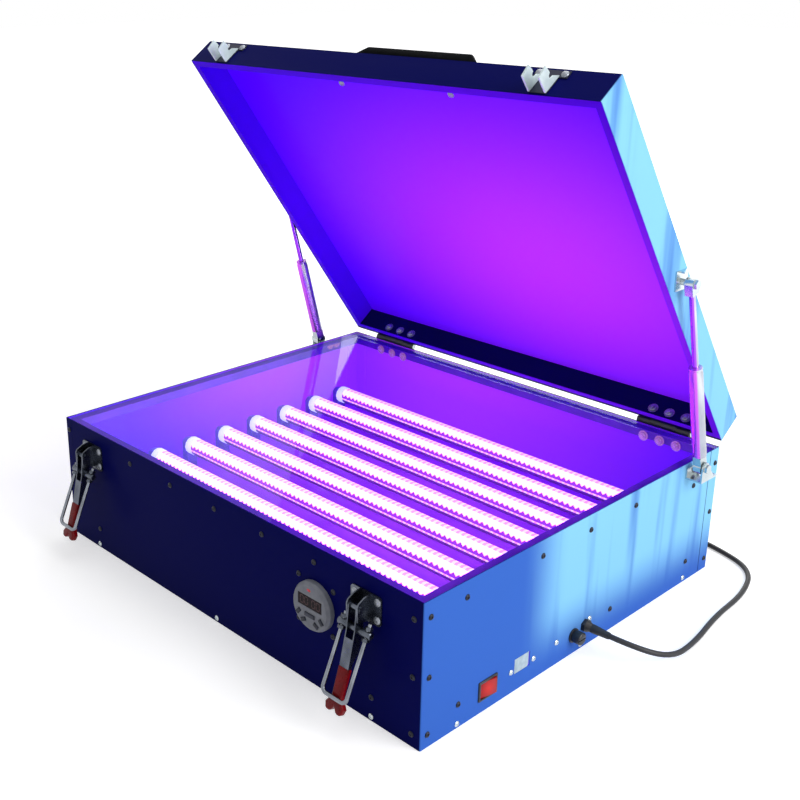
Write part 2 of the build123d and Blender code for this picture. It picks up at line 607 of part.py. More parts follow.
knuckle_third = HINGE_WIDTH / 4
leaf_y = (HALF_Y, HALF_Y + HINGE_LEAF)
body_offset = KNUCKLE_RADIUS + 0.5
pin_hole = facet_bore(HINGE_PIN_RADIUS + BEARING_CLEARANCE, (-HINGE_WIDTH, HINGE_WIDTH), HINGE_Y, HINGE_Z)
middle_knuckle = (-knuckle_third + KNUCKLE_GAP / 2, knuckle_third - KNUCKLE_GAP / 2)
outer_knuckles = [(-HINGE_WIDTH / 2, -knuckle_third - KNUCKLE_GAP / 2)]
outer_knuckles.append((knuckle_third + KNUCKLE_GAP / 2, HINGE_WIDTH / 2))


def leaf(body_z, knuckles):
    """A hinge leaf about x = 0: its flat body, and its knuckles with the strips that join them."""
    piece = block((-HINGE_WIDTH / 2, HINGE_WIDTH / 2), leaf_y, body_z)
    edge = min(body_z, key=lambda z: abs(z - HINGE_Z))
    for x in knuckles:
        piece += block(x, leaf_y, (min(edge, HINGE_Z), max(edge, HINGE_Z)))
        piece += facet_bar(KNUCKLE_RADIUS, x, HINGE_Y, HINGE_Z)
    return piece - pin_hole


base_leaf = leaf((HINGE_BASE_BOLT_Z - LEAF_MARGIN, HINGE_Z - body_offset), outer_knuckles)
lid_leaf = leaf((HINGE_Z + body_offset, HINGE_LID_BOLT_Z + LEAF_MARGIN), [middle_knuckle])
base_leaves = [Pos(x, 0, 0) * base_leaf for x in HINGE_SIDES]
lid_leaves = [Pos(x, 0, 0) * lid_leaf for x in HINGE_SIDES]
lid_hinge_holes = bolt_holes(LID_HINGE_SEATS, (0, -1, 0), HINGE_LEAF + SHEET)
for hole in base_hinge_holes:
    base_leaves = [piece - hole for piece in base_leaves]
for hole in lid_hinge_holes:
    lid_leaves = [piece - hole for piece in lid_leaves]
save("hinge_base_leaves", *base_leaves)
save("hinge_lid_leaves", *[opened(piece) for piece in lid_leaves])

hinge_pin = pin_x(HINGE_PIN_RADIUS, (-HINGE_WIDTH / 2, HINGE_WIDTH / 2), HINGE_Y, HINGE_Z)
for x in ((-HINGE_WIDTH / 2 - 1.5, -HINGE_WIDTH / 2), (HINGE_WIDTH / 2, HINGE_WIDTH / 2 + 1.5)):
    hinge_pin += facet_bar(HINGE_PIN_RADIUS + 1.2, x, HINGE_Y, HINGE_Z)
save("hinge_pins", *[Pos(x, 0, 0) * hinge_pin for x in HINGE_SIDES])

# ---------------------------------------------------------------- toggle latches

pivot_out, pivot_z = LEVER_PIVOT_OUT, BASE_HEIGHT - LEVER_PIVOT_DROP
barrel_out, barrel_z = pivot_out, pivot_z - BARREL_ARM
ear_inside = EAR_OUTSIDE - LATCH_PLATE
lever_outside = ear_inside - SIDE_CLEARANCE
lever_inside = lever_outside - LEVER_SIDE
lever_turn = radians(LEVER_ANGLE)
along = Vector(0, -sin(lever_turn), -cos(lever_turn))
outward = Vector(0, -cos(lever_turn), sin(lever_turn))
barrel_point = Vector(0, front(barrel_out), barrel_z)


def lever_point(down, out):
    """A (y, z) point on the lever's slope, measured from the barrel down it and out from it."""
    point = barrel_point + along * down + outward * out
    return point.Y, point.Z


ear_outline = [
    (front(0), LATCH_PLATE_Z[1]),
    (front(12), LATCH_PLATE_Z[1] - 1),
    (front(pivot_out + 3.5), pivot_z + 8),
    (front(pivot_out + 5.5), pivot_z + 4.5),
    (front(pivot_out + 5.5), pivot_z - 14),
    (front(pivot_out + 2.5), pivot_z - 17),
    (front(0), pivot_z - 17),
]
latch_base = block(
    (-LATCH_PLATE_WIDTH / 2, LATCH_PLATE_WIDTH / 2), (front(LATCH_PLATE), front(0)), LATCH_PLATE_Z
)
plate_corners = latch_base.edges().filter_by(Axis.Y)
latch_base = chamfer(plate_corners, 3)
for x in ((-EAR_OUTSIDE, -ear_inside), (ear_inside, EAR_OUTSIDE)):
    latch_base += side_profile(ear_outline, x)
latch_base += pin_x(RIVET_RADIUS, (-EAR_OUTSIDE, EAR_OUTSIDE), front(pivot_out), pivot_z)
for x in ((-EAR_OUTSIDE - 1.5, -EAR_OUTSIDE), (EAR_OUTSIDE, EAR_OUTSIDE + 1.5)):
    latch_base += facet_bar(RIVET_RADIUS + 1.4, x, front(pivot_out), pivot_z)

lever_outline = [
    (front(pivot_out - 5), pivot_z + 2.5),
    (front(pivot_out - 2.5), pivot_z + 5),
    (front(pivot_out + 2.5), pivot_z + 5),
    (front(pivot_out + 5), pivot_z + 2.5),
    (front(pivot_out + 5.2), pivot_z - 4),
    lever_point(2, 7),
    lever_point(LEVER_REACH, 2.6),
    lever_point(LEVER_REACH, -2.2),
    lever_point(LEVER_REACH - 9, -3.2),
    lever_point(LEVER_REACH - 18, -7.5),
    lever_point(2, -7),
    (front(pivot_out - 5), pivot_z - 8),
]
fork_outline = [
    (front(-10), pivot_z + 30),
    (front(60), pivot_z + 30),
    lever_point(12, 30),
    lever_point(12, 4.6),
    lever_point(LEVER_REACH - 4, 1.2),
    lever_point(LEVER_REACH - 4, -30),
]
lever = side_profile(lever_outline, (-lever_outside, lever_outside))
lever -= side_profile(fork_outline, (-lever_inside, lever_inside))
lever_plane = Plane(origin=barrel_point, x_dir=ACROSS, z_dir=outward)
tongue_reach = GRIP_REACH - 12
tongue_length = tongue_reach - LEVER_REACH + 1
tongue = Pos(0, -tongue_reach + tongue_length / 2, 0) * Box(
    2 * lever_inside, tongue_length, TONGUE_THICKNESS
)
lever += lever_plane * tongue
lever -= facet_bore(RIVET_RADIUS + BEARING_CLEARANCE, (-EAR_OUTSIDE, EAR_OUTSIDE), front(pivot_out), pivot_z)
lever -= pin_x(BARREL_RADIUS + BEARING_CLEARANCE, (-EAR_OUTSIDE, EAR_OUTSIDE), barrel_point.Y, barrel_z)

grip_half = GRIP_WIDTH / 2
tail_points = [
    (grip_half, -LEVER_REACH),
    (grip_half - 0.6, -GRIP_REACH + 18),
    (grip_half + 6.5, -GRIP_REACH + 8),
    (grip_half + 4, -GRIP_REACH),
    (grip_half - 3, -GRIP_REACH),
    (0, -GRIP_REACH + 7),
]
grip_outline = tail_points + [(-x, y) for x, y in reversed(tail_points[:-1])]
grip_sketch = make_face(Polyline(*grip_outline, close=True))
grip_sketch = chamfer(grip_sketch.vertices().sort_by(Axis.Y)[:4], 1.6)
grip = Pos(0, 0, -GRIP_THICKNESS / 2) * extrude(grip_sketch, GRIP_THICKNESS, dir=(0, 0, 1))
grip_rims = grip.edges().filter_by(Plane.XY).group_by(Axis.Z)
grip = chamfer(grip_rims[0] + grip_rims[-1], 1.6)
grip -= tongue
grip = lever_plane * grip

bail_turn = radians(BAIL_ANGLE)
bail_out = Vector(0, -cos(bail_turn), sin(bail_turn))
bail_plane = Plane(origin=barrel_point, x_dir=ACROSS, z_dir=bail_out)
bend_points = [
    (BAIL_HALF_WIDTH - BAIL_BEND * (1 - cos(pi / 6 * step)), -BAIL_LENGTH + BAIL_BEND * (1 - sin(pi / 6 * step)))
    for step in range(4)
]
right_leg = [(BAIL_HALF_WIDTH, BAIL_TIP), *bend_points]
bail_route = Polyline(*[(-x, y) for x, y in right_leg], *reversed(right_leg))
bail_section = Plane(origin=bail_route @ 0, z_dir=bail_route % 0) * RegularPolygon(BAIL_RADIUS, 8)
bail = bail_plane * sweep(bail_section, bail_route, transition=Transition.RIGHT)

half_barrel = BARREL_LENGTH / 2
barrel = facet_bar(BARREL_RADIUS, (-half_barrel, half_barrel), 0, 0)
barrel = chamfer(barrel.faces().filter_by(Axis.X).edges(), 1)
nut_start = BARREL_RADIUS + 0.1
nut_shape = RegularPolygon(BAIL_NUT_ACROSS / 2, 6, major_radius=False, rotation=30)
leg_bore = RegularPolygon(BAIL_RADIUS + BEARING_CLEARANCE, 8, major_radius=False)
nut_shape -= leg_bore
barrel_pieces = []
for x in (-BAIL_HALF_WIDTH, BAIL_HALF_WIDTH):
    barrel -= Pos(x, 0, 0) * Rot(90, 0, 0) * extrude(leg_bore, 2 * BARREL_RADIUS, both=True)
    for start in (nut_start, -nut_start - BAIL_NUT_HEIGHT):
        nut_plane = Plane(origin=(x, start, 0), x_dir=(1, 0, 0), z_dir=(0, 1, 0))
        barrel_pieces.append(nut_plane * extrude(nut_shape, BAIL_NUT_HEIGHT, dir=(0, 0, 1)))
barrel_pieces.append(barrel)

latch_base_holes = bolt_holes(LATCH_SEATS, (0, 1, 0), LATCH_PLATE + SHEET)
latch_bases = [Pos(centre, 0, 0) * latch_base for centre in LATCH_CENTRES.values()]
for hole in latch_base_holes:
    latch_bases = [piece - hole for piece in latch_bases]
save("latch_bases", *latch_bases)
for side, centre in LATCH_CENTRES.items():
    place = Pos(centre, 0, 0)
    save(f"latch_lever_{side}", place * lever)
    save(f"latch_grip_{side}", place * grip)
    save(f"latch_bail_{side}", place * bail)
    save(f"latch_barrel_{side}", *[place * bail_plane * piece for piece in barrel_pieces])

# ---------------------------------------------------------------- catches on the lid

seat_drop = barrel_out - CATCH_SEAT_OUT
seat_z = barrel_z + sqrt(BAIL_LENGTH**2 - seat_drop**2)
seat_radius = BAIL_RADIUS + CATCH_SEAT_CLEARANCE
fin_outline = [
    (front(0), LID_BOTTOM + 2),
    (front(CATCH_SEAT_OUT + 11), LID_BOTTOM + 1.2),
    (front(CATCH_SEAT_OUT + 14), seat_z - 2),
    (front(CATCH_SEAT_OUT + 6), seat_z),
    (front(CATCH_SEAT_OUT + seat_radius), seat_z),
    (front(CATCH_SEAT_OUT - seat_radius), seat_z),
    (front(CATCH_SEAT_OUT - seat_radius - 0.5), seat_z + 4),
    (front(0), seat_z + 15),
]
fin_x = (CATCH_FIN_OUTSIDE - CATCH_FIN, CATCH_FIN_OUTSIDE)
fin = side_profile(fin_outline, fin_x)
fin -= facet_bore(seat_radius, (0, 2 * CATCH_FIN_OUTSIDE), front(CATCH_SEAT_OUT), seat_z)
catch = block(
    (-CATCH_FIN_OUTSIDE, CATCH_FIN_OUTSIDE), (front(CATCH_SHEET), front(0)), (LID_BOTTOM + 2, seat_z + 15)
)
catch += block(
    (-CATCH_BOLT_X - CATCH_BOLT_MARGIN, CATCH_BOLT_X + CATCH_BOLT_MARGIN),
    (front(CATCH_SHEET), front(0)),
    (CATCH_BOLT_Z - CATCH_BOLT_MARGIN, CATCH_BOLT_Z + CATCH_BOLT_MARGIN),
)
catch += fin + mirrored(fin)
catches = [Pos(centre, 0, 0) * catch for centre in LATCH_CENTRES.values()]
catch_holes = bolt_holes(CATCH_SEATS, (0, 1, 0), CATCH_SHEET + SHEET)
for hole in catch_holes:
    catches = [piece - hole for piece in catches]
save("catches", *[opened(piece) for piece in catches])

# ---------------------------------------------------------------- lid

lid_shell = block((-HALF_X, HALF_X), (-HALF_Y, HALF_Y), (LID_BOTTOM, LID_TOP))
upright_corners = lid_shell.edges().filter_by(Axis.Z)
lid_shell = fillet(upright_corners, BEND_RADIUS)
lid_shell = chamfer(lid_shell.faces().sort_by(Axis.Z)[-1].edges(), BEND_RADIUS / 2)
lid_shell -= block((-INNER_X, INNER_X), (-INNER_Y, INNER_Y), (LID_BOTTOM + SHEET, LID_TOP - SHEET))
lid_shell -= block(
    (-INNER_X + LID_LIP, INNER_X - LID_LIP),
    (-INNER_Y + LID_LIP, INNER_Y - LID_LIP),
    (LID_BOTTOM - 1, LID_BOTTOM + SHEET + 1),
)
handle_seats = [(x, HANDLE_Y, LID_TOP - SHEET) for x in HANDLE_BOLT_XS]
handle_grip = SHEET + HANDLE_FOOT[2]
handle_holes = bolt_holes(handle_seats, (0, 0, 1), handle_grip)
for hole in lid_hinge_holes + catch_holes + handle_holes:
    lid_shell -= hole
save("lid_shell", opened(lid_shell))

half_span = HANDLE_BOLT_SPACING / 2
leg_out = half_span + HANDLE_LEG / 2
leg_in = half_span - HANDLE_LEG / 2
foot_top = LID_TOP + HANDLE_FOOT[2]
bar_top = LID_TOP + HANDLE_RISE
bow_outline = [
    (-leg_out, foot_top),
    (-leg_out, bar_top - HANDLE_BAR),
    (-leg_in, bar_top),
    (leg_in, bar_top),
    (leg_out, bar_top - HANDLE_BAR),
    (leg_out, foot_top),
    (leg_in, foot_top),
    (leg_in - 6, bar_top - HANDLE_BAR),
    (-leg_in + 6, bar_top - HANDLE_BAR),
    (-leg_in, foot_top),
]
bow_sketch = make_face(Polyline(*bow_outline, close=True))
bow_sketch = fillet(bow_sketch.vertices().sort_by(Axis.Y)[-4:], 8)
bow_plane = Plane(origin=(HANDLE_X, HANDLE_Y + HANDLE_DEPTH / 2, 0), x_dir=(1, 0, 0), z_dir=(0, -1, 0))
handle_bow = extrude(bow_sketch, HANDLE_DEPTH, dir=(0, 0, 1))
bow_rims = handle_bow.edges().filter_by(Plane.XY).group_by(Axis.Z)
handle_bow = chamfer(bow_rims[0] + bow_rims[-1], 3)
handle_bow = bow_plane * handle_bow
handle_feet = []
for x in HANDLE_BOLT_XS:
    foot = Box(*HANDLE_FOOT, align=(Align.CENTER, Align.CENTER, Align.MIN))
    foot = chamfer(foot.edges().filter_by(Axis.Z), 4)
    foot = chamfer(foot.faces().sort_by(Axis.Z)[-1].edges(), 2)
    handle_feet.append(Pos(x, HANDLE_Y, LID_TOP) * foot)
nut_pocket = NUT_HEIGHT + 1
for x in HANDLE_BOLT_XS:
    pocket = Pos(x, HANDLE_Y, foot_top - 1) * Box(
        NUT_ACROSS + 2, NUT_ACROSS + 2, nut_pocket + 1, align=(Align.CENTER, Align.CENTER, Align.MIN)
    )
    handle_bow -= pocket
for hole in handle_holes:
    handle_feet = [piece - hole for piece in handle_feet]
save("handle_bow", opened(handle_bow))
save("handle_feet", *[opened(piece) for piece in handle_feet])

# ---------------------------------------------------------------- gas struts


def shut_to_open(y, z):
    """Where a (y, z) point of the shut lid lies with the lid open."""
    turn = radians(-LID_OPEN_ANGLE)
    dy, dz = y - HINGE_Y, z - HINGE_Z
    return HINGE_Y + dy * cos(turn) - dz * sin(turn), HINGE_Z + dy * sin(turn) + dz * cos(turn)


upper_y, upper_z = shut_to_open(HINGE_Y - STRUT_UPPER_REACH, LID_BOTTOM + STRUT_UPPER_RISE)
lower_y, lower_z = HALF_Y - STRUT_LOWER_INSET, BASE_HEIGHT - STRUT_LOWER_DROP
strut_length = hypot(upper_y - lower_y, upper_z - lower_z)
strut_dir = Vector(0, (upper_y - lower_y) / strut_length, (upper_z - lower_z) / strut_length)
# the strut's own frame: X across, Y up the strut
strut_plane = Plane(origin=(STRUT_X, lower_y, lower_z), x_dir=ACROSS, z_dir=ACROSS.cross(strut_dir))
eye_half = STRUT_EYE / 2


def strut_bar(section, start, end):
    """A bar of the given section along the strut."""
    return Plane(origin=(0, start, 0), x_dir=ACROSS, z_dir=(0, 1, 0)) * extrude(section, end - start)


strut_foot = facet_bar(FOOT_RADIUS, (-eye_half, eye_half), 0, 0, STRUT_SIDES)
strut_foot += Pos(0, FOOT_REACH / 2, 0) * Box(STRUT_EYE, FOOT_REACH, 1.6 * FOOT_RADIUS)
strut_foot -= facet_bore(PIVOT_RADIUS + BEARING_CLEARANCE, (-STRUT_EYE, STRUT_EYE), 0, 0)

strut_cylinder = strut_bar(RegularPolygon(CYLINDER_RADIUS, STRUT_SIDES), FOOT_REACH, CYLINDER_END)
strut_cylinder = chamfer(strut_cylinder.faces().sort_by(Axis.Y)[-1].edges(), 1.2)
rod_bore = RegularPolygon(ROD_RADIUS + ROD_CLEARANCE, 12, major_radius=False)
strut_cylinder -= strut_bar(rod_bore, CYLINDER_FLOOR, CYLINDER_END + 1)

rod_end_start = strut_length - ROD_END_LENGTH
strut_rod = strut_bar(RegularPolygon(ROD_RADIUS, 16), CYLINDER_END - ROD_INSERTED, rod_end_start)

rod_end_round = ROD_END_WIDTH / 2
strut_rod_end = facet_bar(rod_end_round, (-eye_half, eye_half), strut_length, 0, STRUT_SIDES)
strut_rod_end += Pos(0, (rod_end_start + strut_length) / 2, 0) * Box(
    STRUT_EYE, ROD_END_LENGTH, ROD_END_WIDTH
)
stud_inner = HALF_X + BRACKET_SHEET + SIDE_CLEARANCE - STRUT_X
strut_rod_end += facet_bar(PIVOT_RADIUS, (stud_inner, -eye_half), strut_length, 0)
stud_nut = Plane(origin=(eye_half, strut_length, 0), x_dir=(0, 1, 0), z_dir=(1, 0, 0))
strut_rod_end += stud_nut * extrude(RegularPolygon(5.5, 6, major_radius=False), 4)

wall_leg = block(
    (HALF_X, HALF_X + BRACKET_SHEET),
    (lower_y - BRACKET_EAR_RADIUS, BRACKET_BACK),
    (BRACKET_SHELF_Z - BRACKET_SHEET, lower_z - 5),
)
ear_inner_x = STRUT_X + eye_half + 1.2
ear_x = (ear_inner_x, ear_inner_x + BRACKET_SHEET)
shelf = block(
    (HALF_X, ear_x[1]),
    (lower_y - BRACKET_EAR_RADIUS, BRACKET_BACK),
    (BRACKET_SHELF_Z - BRACKET_SHEET, BRACKET_SHELF_Z),
)
slot_face = chamfer(Rectangle(BRACKET_SLOT[1], BRACKET_SLOT[0]).vertices(), BRACKET_SLOT[1] / 3)
slot_y = BRACKET_BACK - BRACKET_SLOT[0] / 2 - 5
slot_plane = Plane.XY.offset(BRACKET_SHELF_Z - BRACKET_SHEET - 1)
shelf -= slot_plane * Pos(STRUT_X - 3, slot_y) * extrude(slot_face, BRACKET_SHEET + 2)
ear_wall = side_profile(
    [
        (lower_y - BRACKET_EAR_RADIUS, BRACKET_SHELF_Z - BRACKET_SHEET),
        (lower_y - BRACKET_EAR_RADIUS, lower_z),
        (lower_y + BRACKET_EAR_RADIUS, lower_z),
        (BRACKET_BACK - 8, BRACKET_SHELF_Z),
        (BRACKET_BACK - 8, BRACKET_SHELF_Z - BRACKET_SHEET),
    ],
    ear_x,
)
ear_wall += facet_bar(BRACKET_EAR_RADIUS, ear_x, lower_y, lower_z, 16)
lower_bracket = wall_leg + shelf + ear_wall
lower_bracket += pin_x(PIVOT_RADIUS, (STRUT_X - eye_half - 1.5, ear_x[1]), lower_y, lower_z)
lower_bracket += hexagon_bar(11, (ear_x[1], ear_x[1] + 4), lower_y, lower_z)
for hole in right_bracket_holes:
    lower_bracket -= hole
save("strut_lower_brackets", lower_bracket, mirrored(lower_bracket))

# The lid's bracket is square to the open unit: its plate lies on the lid's side wall, and its
# shelf is level above the strut's end, short enough for that end to pass outside it.
upper_pivot = Pos(0, upper_y, upper_z)
plate_y, plate_z = UPPER_PLATE
upper_bracket = block(
    (HALF_X, HALF_X + BRACKET_SHEET),
    (-plate_y / 2, plate_y / 2),
    (UPPER_SHELF_RISE - plate_z, UPPER_SHELF_RISE + BRACKET_SHEET),
)
upper_bracket += block(
    (HALF_X, STRUT_X - eye_half - UPPER_SHELF_CLEARANCE),
    (-plate_y / 2 + 5, plate_y / 2 - 5),
    (UPPER_SHELF_RISE, UPPER_SHELF_RISE + BRACKET_SHEET),
)
upper_bracket = upper_pivot * upper_bracket
save("strut_upper_brackets", upper_bracket, mirrored(upper_bracket))

for name, piece in (
    ("strut_foot", strut_foot),
    ("strut_cylinder", strut_cylinder),
    ("strut_rod", strut_rod),
    ("strut_rod_end", strut_rod_end),
):
    right_piece = strut_plane * piece
    save(f"{name}_right", right_piece)
    save(f"{name}_left", mirrored(right_piece))

# ---------------------------------------------------------------- bolts

base_bolts = [bolt(seat, (0, -1, 0), HINGE_LEAF + 2 * SHEET) for seat in BASE_HINGE_SEATS]
base_bolts += [bolt(seat, (0, 1, 0), LATCH_PLATE + SHEET) for seat in LATCH_SEATS]
for seat in BRACKET_SEATS:
    bracket_bolt = bolt(seat, (-1, 0, 0), BRACKET_SHEET + 2 * SHEET)
    base_bolts += [bracket_bolt, mirrored(bracket_bolt)]
save("base_fasteners", *base_bolts, *screws)

lid_bolts = [bolt(seat, (0, -1, 0), HINGE_LEAF + SHEET) for seat in LID_HINGE_SEATS]
lid_bolts += [bolt(seat, (0, 1, 0), CATCH_SHEET + SHEET) for seat in CATCH_SEATS]
lid_bolts += [bolt(seat, (0, 0, 1), handle_grip) for seat in handle_seats]
save("lid_bolts", *[opened(piece) for piece in lid_bolts])

# ---------------------------------------------------------------- mains cord

cord_on_floor = CORD_RADIUS + FLOOR_CLEARANCE
layer_rise = COIL_PITCH
spiral_turns = COIL_TURNS_IN_LAYER
coil_inner_radius = COIL_OUTER_RADIUS - spiral_turns * COIL_PITCH
coil_x, coil_y = COIL_CENTRE
lead = 2 * CORD_RADIUS


def coil_node(turns):
    """A point of the coil and its direction: in along the floor, up a layer, and out again."""
    angle = -pi / 2 - 2 * pi * turns
    if turns <= spiral_turns:
        radius, growth, z = COIL_OUTER_RADIUS - turns * COIL_PITCH, -COIL_PITCH, cord_on_floor
    else:
        radius = coil_inner_radius + (turns - spiral_turns - 0.5) * COIL_PITCH
        growth, z = COIL_PITCH, cord_on_floor + layer_rise
    if turns in (0, 2 * spiral_turns + 0.5):
        growth = 0
    radial = Vector(cos(angle), sin(angle), 0)
    swept = Vector(-sin(angle), cos(angle), 0)
    place = Vector(coil_x, coil_y, z) + radial * radius
    return place, (radial * growth - swept * (2 * pi * radius)).normalized()


def biarc(start, start_dir, end, end_dir):
    """Two tangent arcs that join two points and leave them in the given directions."""
    chord = end - start
    both = start_dir + end_dir
    spread = 2 * (1 - start_dir.dot(end_dir))
    reach = chord.dot(both)
    step = (-reach + sqrt(reach**2 + spread * chord.dot(chord))) / spread
    corner_in = start + start_dir * step
    corner_out = end - end_dir * step
    middle = (corner_in + corner_out) / 2
    through = (corner_out - corner_in).normalized()
    return [
        Edge.make_tangent_arc(start, start_dir, middle),
        Edge.make_tangent_arc(middle, through, end),
    ]


half_turns = round(2 * spiral_turns) + 1
coil_stops = [turn / 2 for turn in range(half_turns)]
coil_stops += [spiral_turns + 0.5 + turn / 2 for turn in range(half_turns)]
coil_nodes = [coil_node(turns) for turns in coil_stops]
coil_start, coil_heading = coil_nodes[0]
coil_end, plug_heading = coil_nodes[-1]
cord_end = coil_start - coil_heading * lead
plug_start = coil_end + plug_heading * PLUG_LEAD
coil_edges = [Edge.make_line(cord_end, coil_start)]
for (start, start_dir), (end, end_dir) in zip(coil_nodes, coil_nodes[1:]):
    coil_edges += biarc(start, start_dir, end, end_dir)
coil_edges.append(Edge.make_line(coil_end, plug_start))
coil_path = Wire(coil_edges)
cord_section = RegularPolygon(CORD_RADIUS, CORD_SIDES)
cord_coil = sweep(Plane(origin=cord_end, z_dir=coil_heading) * cord_section, coil_path)
save("cord_coil", cord_coil)

# The cord's free stretch: out of the gland, down to the floor and along it to the back.
cord_points = [
    Vector(gland_end, GLAND_Y, GLAND_Z),
    Vector(gland_end + 52, GLAND_Y, GLAND_Z),
    Vector(446, 48, 9),
    Vector(443, 108, cord_on_floor),
    Vector(429, 182, cord_on_floor),
    Vector(426, 260, cord_on_floor),
    Vector(402, 327, cord_on_floor),
    Vector(338, 350, cord_on_floor),
    Vector(262, 359, cord_on_floor),
    Vector(190, coil_start.Y, cord_on_floor),
    cord_end,
]
cord_radii = []
for before, corner, after in zip(cord_points, cord_points[1:], cord_points[2:]):
    half_turn = radians((corner - before).get_angle(after - corner)) / 2
    shorter = min((corner - before).length, (after - corner).length)
    cord_radii.append(0.45 * shorter / tan(half_turn))
cord_path = FilletPolyline(*cord_points, radius=cord_radii)
cord_tube = sweep(Plane(origin=cord_path @ 0, z_dir=cord_path % 0) * cord_section, cord_path)
save("cord_tube", cord_tube)

plug_plane = Plane(origin=plug_start, x_dir=plug_heading.cross(Vector(0, 0, 1)), z_dir=plug_heading)
plug_width, plug_length = PLUG_BODY
plug_height = 2 * (plug_start.Z - FLOOR_CLEARANCE)
plug_body = Pos(0, 0, PLUG_COLLAR) * extrude(Rectangle(plug_width, plug_height), plug_length)
plug_body = chamfer(plug_body.faces().sort_by(Axis.Z)[0].edges(), PLUG_NECK, PLUG_NECK / 3)
plug_body = chamfer(plug_body.edges().filter_by(Axis.Z), 4)
plug_body += extrude(RegularPolygon(CORD_RADIUS + 2.5, 8), PLUG_COLLAR)
save("cord_plug", plug_plane * plug_body)
plug_face = PLUG_COLLAR + plug_length
blades = []
for side in (-1, 1):
    blade = Box(PLUG_BLADE[1], PLUG_BLADE[0], PLUG_BLADE[2], align=(Align.CENTER, Align.CENTER, Align.MIN))
    blades.append(plug_plane * Pos(side * PLUG_BLADE_SPACING / 2, 1, plug_face) * blade)
save("plug_blades", *blades)

print("cord arc radii", [round(radius) for radius in cord_radii])
print("coil arc radii", [round(edge.radius) for edge in coil_edges[1:-1]])
print("cord length", round(cord_path.length + coil_path.length))
for name, piece, path in (("tube", cord_tube, cord_path), ("coil", cord_coil, coil_path)):
    print(name, "volume over section times length", piece.volume / (cord_section.area * path.length))
coil_samples = [coil_path @ (i / 600) for i in range(601)]
sample_step = coil_path.length / 600
least_gap = min(
    (coil_samples[i] - coil_samples[j]).length - 2 * CORD_RADIUS
    for i in range(601)
    for j in range(i + int(8 * CORD_RADIUS / sample_step), 601)
)
print("least gap of the coil to itself", round(least_gap, 2))
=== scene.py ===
from math import cos, pi, radians, sin

import bmesh
import bpy
from mathutils import Matrix, Vector


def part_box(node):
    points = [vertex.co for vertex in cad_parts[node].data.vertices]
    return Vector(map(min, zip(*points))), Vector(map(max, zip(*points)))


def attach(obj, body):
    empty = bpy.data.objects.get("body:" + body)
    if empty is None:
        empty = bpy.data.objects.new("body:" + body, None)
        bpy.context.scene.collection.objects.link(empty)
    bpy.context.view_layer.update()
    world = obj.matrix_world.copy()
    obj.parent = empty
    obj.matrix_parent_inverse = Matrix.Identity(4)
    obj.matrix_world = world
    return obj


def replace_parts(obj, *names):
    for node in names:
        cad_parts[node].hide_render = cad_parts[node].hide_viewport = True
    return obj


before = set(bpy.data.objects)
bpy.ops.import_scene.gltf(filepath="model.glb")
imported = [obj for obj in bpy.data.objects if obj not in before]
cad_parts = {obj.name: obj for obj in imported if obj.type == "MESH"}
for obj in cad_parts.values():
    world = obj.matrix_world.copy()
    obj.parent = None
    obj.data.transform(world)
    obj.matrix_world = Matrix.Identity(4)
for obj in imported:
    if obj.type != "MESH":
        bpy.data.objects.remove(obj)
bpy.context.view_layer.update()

# ---------------------------------------------------------------- camera
# The camera stands off the right front corner, a little higher than the glass, and looks down on
# it. Its shift brings the unit to its place in the square picture.
CAMERA_PLACE = (1.0433, -1.0829, 0.8134)
CAMERA_ROLL = radians(-0.25)
forward = Vector((-0.6963, 0.6367, -0.3312)).normalized()
level = forward.cross(Vector((0, 0, 1))).normalized()
upright = level.cross(forward)
camera_x = level * cos(CAMERA_ROLL) + upright * sin(CAMERA_ROLL)
camera_y = upright * cos(CAMERA_ROLL) - level * sin(CAMERA_ROLL)
camera_data = bpy.data.cameras.new("camera")
camera_data.sensor_width = 36.0
camera_data.lens = 52.17
camera_data.shift_x = 0.108
camera_data.shift_y = -0.0475
camera = bpy.data.objects.new("camera", camera_data)
camera_turn = Matrix((camera_x, camera_y, -forward)).transposed().to_4x4()
camera.matrix_world = Matrix.Translation(CAMERA_PLACE) @ camera_turn
bpy.context.scene.collection.objects.link(camera)
bpy.context.scene.camera = camera
bpy.context.scene.view_settings.view_transform = "Standard"

# ---------------------------------------------------------------- mains cord
# A round three-core lead in soft black PVC. It leaves the gland level, drops to the table, runs
# back beside the cabinet and lies behind it in a small coil, with its plug beyond.
CORD_DIAMETER = 0.007
CORD_ON_FLOOR = 0.0036
CORD_EXIT = (0.362, 0.0028, 0.031)
CORD_ROUTE = (
    CORD_EXIT,
    (0.414, 0.0028, 0.031),
    (0.446, 0.048, 0.009),
    (0.443, 0.108, CORD_ON_FLOOR),
    (0.429, 0.182, CORD_ON_FLOOR),
    (0.426, 0.260, CORD_ON_FLOOR),
    (0.402, 0.327, CORD_ON_FLOOR),
    (0.338, 0.350, CORD_ON_FLOOR),
    (0.262, 0.359, CORD_ON_FLOOR),
    (0.190, 0.361, CORD_ON_FLOOR),
    (0.150, 0.361, CORD_ON_FLOOR),
)
COIL_CENTRE = (0.120, 0.411)
COIL_RADIUS = 0.050
COIL_PITCH = 0.0078
COIL_STEPS = 16
PLUG_START = (0.164, 0.461, CORD_ON_FLOOR + COIL_PITCH)


def linear(colour):
    """An sRGB hex colour as the linear colour that a shader takes."""
    parts = [int(colour[i:i + 2], 16) / 255 for i in (1, 3, 5)]
    return [p / 12.92 if p <= 0.04045 else ((p + 0.055) / 1.055) ** 2.4 for p in parts] + [1.0]


